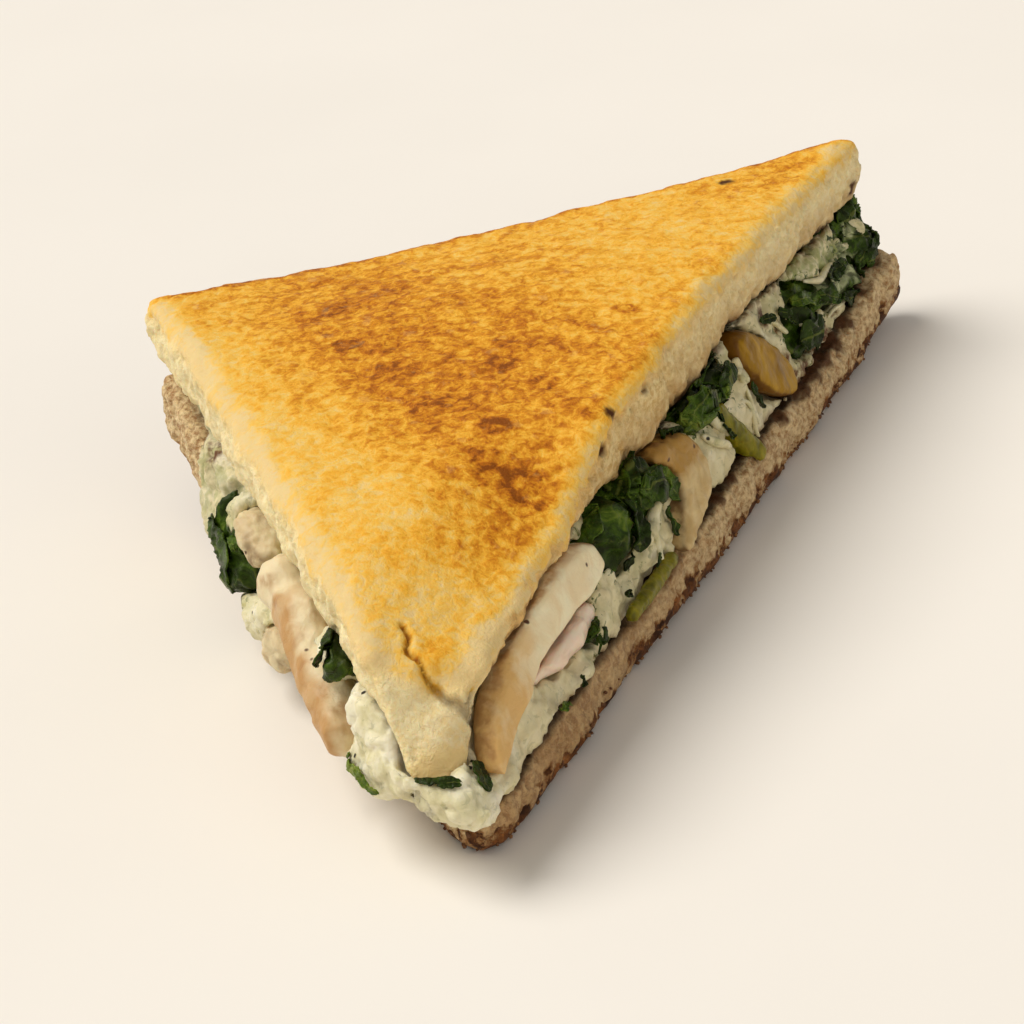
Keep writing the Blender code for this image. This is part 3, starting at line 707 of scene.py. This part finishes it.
class Slice:
    """A fine copy of one slice: toasted on top where face_up is 1, underneath where it is -1."""

    def __init__(self, node, name, face_up):
        self.node = node
        self.obj = fine_copy(node, name, BREAD_VOXEL, 4)
        self.points, self.normals = points_of(self.obj.data), normals_of(self.obj.data)
        toasted = tree_of(node, keep=lambda face: face.normal.z * face_up > FACE_TURN)
        self.skin = distance_to(toasted, self.points)
        self.crust = baked_side(self.points, self.normals)
        self.on_crumb = smooth_step(0.3, 1.3, self.skin) * (1 - 0.8 * self.crust)
        self.near_cut = smooth_step(16, 8, past_line(self.points, TIP, BACK))
        self.near_side = smooth_step(9, 5, past_line(self.points, HEEL, TIP))
        self.near_tip = smooth_step(26, 14, from_tip(self.points))
        self.gap = self.gap_shade(face_up)
        self.soak = smooth_step(2.6, 0.4, distance_to(WET, self.points))
        self.soak *= smooth_step(-0.5, 0.3, noise(self.points, 6.0, 59))

    def gap_shade(self, face_up):
        """Share of painted shade: 1 where the slice faces the filling from close by, mostly near the cut."""
        facing = smooth_step(0.1, -0.5, self.normals[:, 2] * face_up)
        near = smooth_step(1.3, 0.2, distance_to(FILLING, self.points))
        return near * facing * (0.25 + 0.75 * self.near_cut)

    def crumb_relief(self):
        return 0.34 * layered(self.points, 3.4, 4, 3, 0.68) - crumb_pits(self.points)

    def face_relief(self):
        pits = smooth_step(0.35, 0.75, noise(self.points, 1.4, 15))
        return 0.16 * layered(self.points, 3.2, 3, 9) - 0.14 * pits

    def move(self, push, face):
        """Moves the points by push on the crumb and by face elsewhere, and never below the floor."""
        lowest = self.points[:, 2].min()
        out = self.on_crumb * push + (1 - self.on_crumb) * face
        self.points = self.points + self.normals * out[:, None]
        self.points[:, 2] = np.maximum(self.points[:, 2], lowest)
        put_points(self.obj.data, self.points)

    def light(self, start, end):
        """How much painted light the crumb gets: more from start to end along the cut, and at the open side.
        """
        along = smooth_step(start, end, self.points[:, 0] + 8 * noise(self.points, 9.0, 60))
        return np.maximum(0.75 * along, 0.9 * self.near_side)

    def finish(self, paint, **numbers):
        store(self.obj.data, skin=self.skin, soak=self.soak, gap=self.gap, **numbers)
        return finished(self.obj, paint, "toasted_bread", self.node)


def upper_slice(paint):
    piece = Slice("bread_upper", "upper_slice", 1)
    points, near_tip = piece.points, piece.near_tip
    opening, char_and_shade = crack(points), marks(points, CHARS)
    bulge = lumps(points, TIP_LUMPS) - 0.7 * opening + 0.3 * near_tip * noise(points, 3.2, 67)
    brown = top_browning(points) + 0.3 * opening + lumps(points, TIP_BROWN)
    crust = np.maximum(piece.crust, lumps(points, TIP_CRUST))
    push = piece.crumb_relief() * (1 - 0.5 * near_tip) + bulge - 0.3 * char_and_shade
    piece.move(push, piece.face_relief() + bulge)
    return piece.finish(
        paint,
        brown=np.clip(brown, 0, 1),
        crust=crust,
        # The crack's dark middle is painted shade in the groove
        char_and_shade=np.maximum(char_and_shade, 0.55 * opening**2),
        # Painted shade on the crumb close above the filling, along the cut
        low=smooth_step(6.5, 0.6, distance_to(FILLING, piece.points)) * piece.near_cut * (1 - near_tip),
        # Painted light on the crumb, strong at the tip
        light=np.maximum(piece.light(-25, 45), 0.85 * near_tip),
    )


def lower_slice(paint):
    piece = Slice("bread_lower", "lower_slice", -1)
    points = piece.points
    brown = 0.72 + 0.25 * noise(points, 3.0, 5)
    # Dark marks along the upper rim at the cut, where the filling meets it
    char_and_shade = 0.9 * marks(points, LOWER_RIM_MARKS)
    ragged = 0.45 * smooth_step(2.2, 0.4, piece.skin) * np.abs(noise(points, 1.6, 8))
    piece.move(piece.crumb_relief() - ragged, piece.face_relief())
    # Painted light on the lower crumb, along the cut and at the open side
    return piece.finish(paint, brown=brown, crust=piece.crust, char_and_shade=char_and_shade, low=0.0, light=piece.light(-48, 0))


# Filling

# Leaf that is coated in melted cheese, and brown juice on the cheese: place, radius
MILK = [
    ((53.5, -34.9, 13.7), 4.0), ((49.0, -35.2, 14.2), 2.8), ((58.0, -35.0, 12.8), 3.0),
    ((62.6, -34.0, 15.2), 1.4), ((17.0, -33.6, 15.8), 1.6), ((-7.0, -34.6, 14.0), 1.4),
    ((38.0, -35.6, 11.4), 1.0),
]
JUICE = [
    ((-10.4, 25.4, 14.4), 3.0), ((-14.0, 21.6, 15.6), 2.2), ((-57.0, -15.4, 14.0), 1.6),
    ((33.0, -36.5, 8.4), 2.6), ((37.0, -36.8, 8.2), 2.4), ((41.0, -36.8, 8.3), 2.4),
    ((45.5, -37.0, 8.4), 2.2), ((31.0, -35.8, 10.4), 1.8), ((31.2, -33.5, 17.0), 1.6),
    ((32.8, -34.3, 14.8), 1.5), ((50.0, -37.0, 8.6), 1.6),
]


def spinach_mass(paint):
    obj = fine_copy("spinach", "spinach_mass", FILLING_VOXEL, 5)
    mesh = obj.data
    points, normals = points_of(mesh), normals_of(mesh)
    bent = swayed(points, 1.2, 4.0, (81, 82, 83))
    crests = ridges(bent, 3.4, 84)
    folds = crests**2 + 0.45 * ridges(bent, 1.7, 85) ** 2
    points = kept_clear(points + normals * (folds - 0.9)[:, None], BREAD, SPINACH_GAP)
    put_points(mesh, points)
    shade = smooth_step(2.4, 0.6, distance_to(BREAD, points))
    store(
        mesh,
        tone=0.35 + 0.35 * noise(points, 5.0, 86),
        vein=0.6 * smooth_step(0.93, 1.0, crests),
        # Painted shade in the fold hollows and near the bread
        deep=np.maximum(smooth_step(0.62, 0.3, folds), shade),
        milk=marks(points, MILK),
    )
    finished(obj, paint, "spinach_leaf", "spinach")


def cheese_melt(paint):
    obj = fine_copy("cheese", "cheese_melt", FILLING_VOXEL, 8)
    mesh = obj.data
    points, normals = points_of(mesh), normals_of(mesh)
    x, y = points[:, 0], points[:, 1]
    near_leaf = smooth_step(4.0, 0.4, distance_to(SPINACH, points))
    near_bread = smooth_step(1.8, 0.3, distance_to(BREAD, points))
    at_heel = smooth_step(-34, -14, x) * smooth_step(0, 10, y)
    on_cut = smooth_step(-26, -32, y) * smooth_step(-68, -60, x)
    push = 0.4 * noise(points, 5.0, 101) + 0.46 * layered(points, 2.6, 3, 102, 0.6)
    push -= 0.35 * smooth_step(0.78, 1.0, ridges(points, 3.0, 104))
    points = kept_clear(points + normals * push[:, None], BREAD, CHEESE_GAP)
    put_points(mesh, points)
    leafy = smooth_step(38, 44, points[:, 0]) * smooth_step(11, 13, points[:, 2])
    leafy = np.maximum(at_heel, on_cut * leafy)
    store(
        mesh,
        # Near the leaves this is partly the spinach's green and partly painted shade
        green=np.clip((0.15 + 0.4 * near_leaf) * (0.6 + 0.3 * on_cut) + 0.5 * leafy, 0, 1),
        herb=np.clip(0.2 + near_leaf * (0.3 + 0.6 * on_cut), 0, 1),
        cut=np.maximum(on_cut, 0.8 * at_heel),
        # Painted shade near the bread, strongest on the cut, with the listed juice marks
        juice=np.maximum(near_bread * (0.25 + 0.6 * on_cut), marks(points, JUICE)),
    )
    finished(obj, paint, "melted_cheese", "cheese")


def firm_piece(node, name, paint, slot, wrinkle, size, axis=None, far=None, rounds=3):
    """A piece of mushroom, onion or stem, with wrinkles that the CAD solid leaves out."""
    obj = fine_copy(node, name, FIRM_VOXEL, rounds)
    mesh = obj.data
    points, normals = points_of(mesh), normals_of(mesh)
    if axis is None:
        edge = smooth_step(0.1, 0.6, noise(points, 3.0, 61))
    else:
        edge = 1 - smooth_step(0.45, 0.8, np.abs(normals @ np.array(axis)))
    folds = smooth_step(0.75, 1.0, ridges(points, size * 1.3, 77))
    push = wrinkle * (layered(points, size, 3, 71) - 0.6 * folds)
    put_points(mesh, points + normals * push[:, None])
    store(mesh, edge=edge, far=far(points) if far else 0.0)
    finished(obj, paint, slot, node)


def slab_tan(points):
    """The tan of the slab, at its lower end."""
    return 0.8 * smooth_step(-44, -58, points[:, 0]) - 0.1


def arch_cap(points):
    """The brown of the arched slice's cap."""
    return 0.95 * smooth_step(12.5, 15.5, points[:, 2] + 0.6 * noise(points, 2.0, 64))


LOG_KNOB = np.array([-39.7, -0.7, 15.0])


def log_tan(points):
    """The tan of the log: on its outer and lower side, and not on the knob at its upper end."""
    from_knob = np.linalg.norm(points - LOG_KNOB, axis=1)
    outer = -past_line(points, HEEL, TIP)
    tan = smooth_step(1.3, 3.7, outer + 0.8 * noise(points, 3.0, 66))
    return smooth_step(3.6, 6.0, from_knob) * (0.3 + tan) - 0.45


# Leaves

LEAF_ROWS, LEAF_COLUMNS = 30, 20
LEAF_THICKNESS = 0.22
LEAF_LENGTHS = (7.0, 11.0)
LEAF_SLIM = (0.55, 0.8)
OPEN_LEAVES = 60
OPEN_APART = 2.6


def leaf_grid():
    """The grid that each leaf is bent from: along, across, vein strength and faces."""
    u, v = np.meshgrid(np.linspace(-1, 1, LEAF_ROWS), np.linspace(-1, 1, LEAF_COLUMNS), indexing="ij")
    u, v = u.ravel(), v.ravel()
    side = np.abs(((v * 4 + np.abs(u) * 2.5) % 1.0) - 0.5) * 2
    veins = np.maximum(smooth_step(0.12, 0.0, np.abs(v)), 0.5 * smooth_step(0.8, 1.0, side))
    rows = np.arange(LEAF_ROWS - 1)[:, None] * LEAF_COLUMNS
    first = (rows + np.arange(LEAF_COLUMNS - 1)).ravel()
    return u, v, veins, np.stack([first, first + 1, first + LEAF_COLUMNS + 1, first + LEAF_COLUMNS], axis=1)


LEAF_U, LEAF_V, LEAF_VEINS, LEAF_FACES = leaf_grid()


def leaf_folds(flat, curl):
    """Height of a leaf's folds over what it lies on, and of its curled rim."""
    bent = swayed(flat, 0.9, 3.1, (91, 92, 93))
    folds = 0.25 + 0.75 * ridges(bent, 2.2, 94) ** 2 + 0.4 * ridges(bent, 1.1, 95) ** 2
    return folds + 0.8 * curl * np.abs(LEAF_V) ** 3 * (0.5 + 0.5 * noise(flat, 5.0, 96))


def leaf(draw, host, spot, normal, length, width, along, fold):
    """The points of one wilted leaf that hugs the host form."""
    normal = Vector(normal).normalized()
    turn = draw.uniform(0, math.tau)
    if along is None:
        along = normal.orthogonal().normalized()
        along.rotate(Matrix.Rotation(turn, 3, normal))
    along = (Vector(along) - normal * normal.dot(Vector(along))).normalized()
    across = normal.cross(along)
    waves = 1 + 0.12 * np.sin(LEAF_U * 9 + turn * 3)
    half = width / 2 * np.sqrt(np.clip(1.02 - LEAF_U**2, 0.02, 1)) * waves
    flat = np.stack([LEAF_U * length / 2, LEAF_V * half, np.full(len(LEAF_U), turn * 40)], axis=1)
    lift = fold * leaf_folds(flat, draw.uniform(0.2, 1.0))
    points = np.array(spot) + np.outer(flat[:, 0], along) + np.outer(flat[:, 1], across)
    points += np.outer(0.6 * noise(flat, 4.0, 97), normal)
    for i, place in enumerate(points.tolist()):
        under, out, _, _ = host.find_nearest(place)
        points[i] = under + (out + normal * 0.8).normalized() * lift[i]
    return points


def leaves(name, places, seed, paint, host, tones, fold=0.75, coated=False):
    """Many leaves in one piece, each a thin closed shell. A place may give length, width and direction."""
    draw = np.random.default_rng(seed)
    all_points, shades = [], []
    for spot, normal, *own_size in places:
        length = draw.uniform(*LEAF_LENGTHS)
        width, along = length * draw.uniform(*LEAF_SLIM), None
        if own_size:
            length, width, along = own_size
        points = kept_clear(leaf(draw, host, spot, normal, length, width, along, fold), BREAD, LEAF_GAP)
        all_points.append(points)
        shades.append(draw.uniform(*tones) + 0.3 * noise(points, 3.0, 98))
    points = np.concatenate(all_points)
    faces = np.concatenate([LEAF_FACES + i * len(LEAF_VEINS) for i in range(len(places))])
    obj = new_piece(name, points, faces.tolist())
    milk = marks(points, MILK) if coated else 0.0
    store(obj.data, vein=np.tile(LEAF_VEINS, len(places)), tone=np.concatenate(shades), deep=0.0, milk=milk)
    settled(obj, "SOLIDIFY", thickness=LEAF_THICKNESS * MM, offset=0.0)
    finished(obj, paint, "spinach_leaf")


def open_places():
    """Spread-out places on the spinach's sides, with the way each faces."""
    faces = [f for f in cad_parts["spinach"].data.polygons if abs(f.normal.z) < 0.85]
    chosen = []
    for i in np.random.default_rng(5).permutation(len(faces)):
        centre = np.array(faces[i].center) / MM
        if all(np.linalg.norm(centre - other) > OPEN_APART for other, _ in chosen):
            chosen.append((centre, np.array(faces[i].normal)))
    return chosen[:OPEN_LEAVES]


# Leaf that shows at the tip and on the open side: place, the way it faces, length, width, the way it runs
TIP_LEAVES = [
    ((-69.3, -31.4, 12.1), (-0.58, -0.25, 0.78), 3.4, 0.8, (0.1, -1.0, 0.0)),
    ((-69.2, -33.4, 12.1), (-0.45, -0.4, 0.79), 2.6, 1.1, (0.4, -0.9, 0.0)),
    ((-65.8, -35.2, 10.9), (0.16, -0.79, 0.6), 3.6, 2.4, (-0.6, -0.6, -0.5)),
]
SIDE_BITS = [
    ((-64.5, -20.1, 9.3), (-0.7, 0.7, 0.1), 2.0, 1.1, (-0.6, -0.8, 0.1)),
    ((-65.6, -21.2, 9.5), (-0.82, 0.52, 0.2), 2.6, 1.3, (-0.5, -0.8, 0.0)),
    ((-66.5, -22.6, 9.1), (-0.75, 0.65, 0.1), 2.4, 1.0, (-0.6, -0.8, -0.2)),
    ((-67.3, -23.8, 8.9), (-0.9, 0.4, 0.0), 1.8, 0.8, (-0.4, -0.9, -0.1)),
    ((-64.0, -19.2, 10.2), (-0.7, 0.7, 0.2), 1.2, 0.6, (-0.4, -0.8, 0.4)),
]
# Leaf that crosses the cut: x and height of its middle, length, width and tilt in degrees
CUT_LEAVES = [
    (-37.0, 10.3, 3.0, 1.8, 10), (-48.0, 8.8, 2.6, 1.2, -20), (-43.0, 9.0, 1.6, 0.8, 30),
    (-24.0, 12.6, 1.8, 0.8, 20), (-27.0, 10.4, 1.4, 0.7, -30), (-19.6, 10.6, 1.8, 0.7, 40),
    (-20.4, 15.4, 6.6, 4.2, 60), (-13.8, 16.8, 7.0, 3.4, -20), (-9.2, 15.0, 6.0, 3.0, -65),
    (-11.6, 11.4, 3.4, 1.1, 80), (3.4, 18.3, 7.0, 3.0, 0), (8.0, 16.8, 6.4, 3.2, -30),
    (8.6, 12.6, 3.0, 1.0, -60), (12.0, 17.6, 5.0, 2.6, 20), (19.4, 12.2, 4.0, 1.3, -75),
    (35.4, 15.4, 4.4, 1.5, -50), (39.0, 11.3, 8.0, 4.2, -10), (53.6, 13.8, 5.2, 1.9, 0),
    (-3.2, 17.5, 5.0, 1.5, 0), (-14.4, 18.0, 4.2, 1.3, 0), (30.6, 17.4, 3.4, 1.2, -20),
    (41.0, 15.0, 8.0, 2.2, -24), (48.0, 12.4, 8.4, 2.0, -26), (54.5, 9.4, 6.4, 2.2, -26),
    (53.0, 13.9, 7.0, 1.4, -6), (61.0, 11.4, 5.0, 2.4, 20), (66.5, 10.8, 8.0, 3.6, 0),
    (62.4, 16.4, 4.0, 1.3, 30), (68.0, 15.4, 4.6, 2.4, -50),
]


def in_cut(x, z):
    """A place on the cut's leaning face."""
    return x, CUT_Y - CUT_LEAN * (CUT_TOP - z), z


def cut_places():
    """The leaves on the cut, as leaves() reads them."""
    for x, z, length, width, tilt in CUT_LEAVES:
        turn = math.radians(tilt)
        along = (math.cos(turn), CUT_LEAN * math.sin(turn), math.sin(turn))
        yield in_cut(x, z), OUT_OF_CUT, length, width, along


# Small things

# Strands of cheese pulled across the cut: x and height of their ends, radius
STRANDS = [
    (-13.4, 16.0, -18.6, 10.0, 0.7), (5.6, 16.2, 10.2, 12.6, 0.55), (3.4, 15.0, 7.6, 10.6, 0.5),
    (15.6, 13.4, 17.4, 8.0, 0.3), (18.0, 14.6, 18.4, 9.0, 0.26), (37.0, 13.4, 43.0, 9.6, 0.35),
    (44.0, 16.4, 56.0, 13.4, 0.45), (58.0, 15.2, 65.0, 13.4, 0.4), (20.0, 17.4, 17.4, 15.0, 0.5),
    (17.8, 15.9, 19.4, 14.9, 0.55), (63.6, 16.6, 65.2, 13.8, 0.8), (31.8, 16.4, 34.6, 14.0, 0.3),
    (47.0, 10.2, 54.0, 9.6, 0.3),
]
STRAND_STEPS, STRAND_SIDES = 26, 8


def strand_line(draw, start, end, radius, share):
    """A bent line between two places that lies on the filling."""
    line = np.array(start) * (1 - share) + np.array(end) * share
    line += 0.8 * np.sin(share * math.pi * draw.uniform(0.8, 2.2)) * draw.normal(size=3) * (0.5, 0.1, 0.5)
    for i, place in enumerate(line.tolist()):
        spot, out, _, _ = FILLING.find_nearest(place)
        line[i] = spot + out * radius * 0.5
    for _ in range(4):
        line[1:-1] = (line[:-2] + 2 * line[1:-1] + line[2:]) / 4
    return line


def strand(draw, start, end, radius):
    """The points of one strand, ring by ring."""
    share = np.linspace(0, 1, STRAND_STEPS)[:, None]
    line = strand_line(draw, start, end, radius, share)
    run = np.gradient(line, axis=0)
    run /= np.linalg.norm(run, axis=1)[:, None]
    side = np.cross(run, OUT_OF_CUT)
    side /= np.linalg.norm(side, axis=1)[:, None]
    up = np.cross(side, run)
    thick = radius * (0.25 + np.sin(np.clip(share[:, 0], 0.02, 0.98) * math.pi) ** 0.5)
    thick *= 1 + 0.2 * noise(line, 4.0, 111)
    turns = np.linspace(0, math.tau, STRAND_SIDES, endpoint=False)
    ring = np.cos(turns)[None, :, None] * side[:, None] + np.sin(turns)[None, :, None] * up[:, None]
    return (line[:, None] + ring * thick[:, None, None]).reshape(-1, 3)


def strand_faces():
    """The faces between a strand's rings, and its two caps."""
    count, sides = STRAND_STEPS, STRAND_SIDES
    faces = []
    for i, k in itertools.product(range(count - 1), range(sides)):
        after = (k + 1) % sides
        faces.append([i * sides + k, i * sides + after, (i + 1) * sides + after, (i + 1) * sides + k])
    return faces + [list(range(sides))[::-1], list(range((count - 1) * sides, count * sides))]


def cheese_strands(paint):
    draw = np.random.default_rng(14)
    all_points, faces, count = [], [], 0
    for x, z, to_x, to_z, radius in STRANDS:
        points = strand(draw, in_cut(x, z), in_cut(to_x, to_z), radius)
        all_points.append(kept_clear(points, BREAD, STRAND_GAP))
        faces += [[k + count for k in face] for face in strand_faces()]
        count += len(points)
    obj = new_piece("cheese_strands", np.concatenate(all_points), faces)
    store(obj.data, green=0.35, herb=0.2, cut=0.7, juice=0.0)
    finished(obj, paint, "melted_cheese")


CRUMBS = 260
CRUMB_SIZES = (0.15, 0.4)
CRUMB_RIM = 3.2


def grain(draw, centre, size):
    """A small irregular crumb: its points and faces."""
    work = bmesh.new()
    bmesh.ops.create_icosphere(work, subdivisions=1, radius=1.0)
    points = np.array([v.co for v in work.verts])
    faces = [[v.index for v in f.verts] for f in work.faces]
    work.free()
    points *= draw.uniform(0.6, 1.2, size=(len(points), 1)) * size * draw.uniform(0.6, 1.0, size=3)
    return points + centre, faces


def rim_crumbs(mesh, paint):
    """Loose crumbs that stick to the lower rim of the lower slice."""
    draw = np.random.default_rng(17)
    points, normals = points_of(mesh), normals_of(mesh)
    on_rim = np.flatnonzero((points[:, 2] < CRUMB_RIM) & (np.abs(normals[:, 2]) < 0.7))
    all_points, faces, tones, total = [], [], [], 0
    for i in draw.choice(on_rim, size=min(CRUMBS, len(on_rim)), replace=False):
        size = draw.uniform(*CRUMB_SIZES)
        centre = points[i] + normals[i] * size * 0.3
        centre[2] = max(centre[2], size * 1.3)
        own, own_faces = grain(draw, centre, size)
        all_points.append(own)
        faces += [[k + total for k in face] for face in own_faces]
        tones.append(np.full(len(own), draw.uniform(0.0, 0.6)))
        total += len(own)
    obj = new_piece("rim_crumbs", np.concatenate(all_points), faces)
    store(obj.data, tone=np.concatenate(tones))
    finished(obj, paint, "toasted_bread")


# Camera, lights and floor

FLOOR_REACH = 3000.0
FLOOR_DROP = 0.02


def set_camera():
    data = bpy.data.cameras.new("camera")
    data.lens, data.sensor_width = LENS, SENSOR
    data.clip_start, data.clip_end = 0.01, 20.0
    forward = Vector(PHOTO_FORWARD).normalized()
    right = forward.cross(Vector((0, 0, 1))).normalized()
    pose = Matrix((right, right.cross(forward), -forward)).transposed()
    turn = forward.rotation_difference(Vector(OBJECT_FORWARD).normalized()).to_matrix()
    camera = bpy.data.objects.new("camera", data)
    camera.matrix_world = Matrix.Translation(Vector(CAMERA_PLACE) * MM) @ (turn @ pose).to_4x4()
    bpy.context.scene.collection.objects.link(camera)
    bpy.context.scene.camera = camera


def add_sun(name, place, strength, tint, angle):
    """A soft lamp that shines from a place towards the middle."""
    data = bpy.data.lights.new(name, "SUN")
    data.energy, data.color, data.angle = strength, tint, angle
    lamp = bpy.data.objects.new(name, data)
    lamp.location = place
    lamp.rotation_mode = "QUATERNION"
    lamp.rotation_quaternion = (-Vector(place)).to_track_quat("-Z", "Y")
    bpy.context.scene.collection.objects.link(lamp)


def set_lights():
    add_sun("key", (-0.1, 0.7, 1.0), 2.58, (1.0, 0.97, 0.92), 0.7)
    add_sun("fill", (-0.7, -0.9, 0.5), 0.58, (1.0, 0.95, 0.86), 1.2)
    world = bpy.data.worlds.new("studio")
    world.use_nodes = True
    background = world.node_tree.nodes["Background"]
    background.inputs["Color"].default_value = (1.0, 0.98, 0.95, 1.0)
    background.inputs["Strength"].default_value = 0.31
    bpy.context.scene.world = world
    bpy.context.scene.view_settings.view_transform = "Standard"


def set_floor():
    signs = [(-1, -1), (1, -1), (1, 1), (-1, 1)]
    corners = [(x * FLOOR_REACH, y * FLOOR_REACH, -FLOOR_DROP) for x, y in signs]
    floor = new_piece("floor", corners, [(0, 1, 2, 3)])
    floor.data.materials.append(floor_paint())


# The pieces


def set_filling():
    spinach, cheese = spinach_paint(), cheese_paint()
    spinach_mass(spinach)
    leaves("spinach_leaves", open_places(), 6, spinach, SPINACH, (-0.1, 0.7), coated=True)
    cheese_melt(cheese)
    leaves("tip_leaves", TIP_LEAVES, 8, spinach, CHEESE, (-0.1, 0.2), 0.32)
    leaves("cut_leaves", list(cut_places()), 12, spinach, FILLING, (-0.1, 0.6))
    cheese_strands(cheese)
    leaves("side_bits", SIDE_BITS, 9, spinach, CHEESE, (0.75, 1.1), 0.4)


def set_mushrooms():
    slab = flesh_paint("mushroom_slab", (250, 236, 196), (222, 178, 108), (170, 120, 66), 5.0)
    arch = flesh_paint("mushroom_arch", (220, 194, 140), (176, 134, 62), (100, 62, 22))
    log = flesh_paint("mushroom_log", (230, 213, 172), (192, 148, 92), (170, 124, 74), 5.0)
    lump = flesh_paint("mushroom_side", (226, 210, 168), (186, 152, 104), (128, 94, 56))
    slot = "mushroom_flesh"
    firm_piece("mushroom_front", "mushroom_slab", slab, slot, 0.1, 5.0, (0.1, 0.9, -0.35), slab_tan, 12)
    firm_piece("mushroom_middle", "mushroom_arch", arch, slot, 0.2, 2.4, (0.1, 0.95, -0.3), arch_cap, 8)
    firm_piece("mushroom_log", "mushroom_log_piece", log, slot, 0.22, 4.5, far=log_tan)
    for node in ("mushroom_side", "mushroom_low", "mushroom_back", "mushroom_corner"):
        firm_piece(node, node + "_piece", lump, slot, 0.3, 2.4)


def set_small_pieces():
    stem = stem_paint()
    firm_piece("amber_slice", "amber_piece", amber_paint(), "amber_slice", 0.12, 3.0, (0.0, 0.9, -0.35))
    firm_piece("onion_front", "onion_piece", onion_paint(), "onion_flesh", 0.15, 2.6, (0.0, 0.9, -0.35))
    for node in ("stem_front", "stem_middle"):
        firm_piece(node, node + "_piece", stem, "green_stem", 0.15, 1.8)


set_camera()
set_lights()
set_floor()
upper_slice(toast_paint("upper_toast", GOLDEN, UPPER_BAND, UPPER_CRUMB, 0.8))
lower = lower_slice(toast_paint("lower_toast", UNDER, LOWER_BAND, LOWER_CRUMB, 2.2))
set_filling()
set_mushrooms()
set_small_pieces()
rim_crumbs(lower.data, crumb_paint())
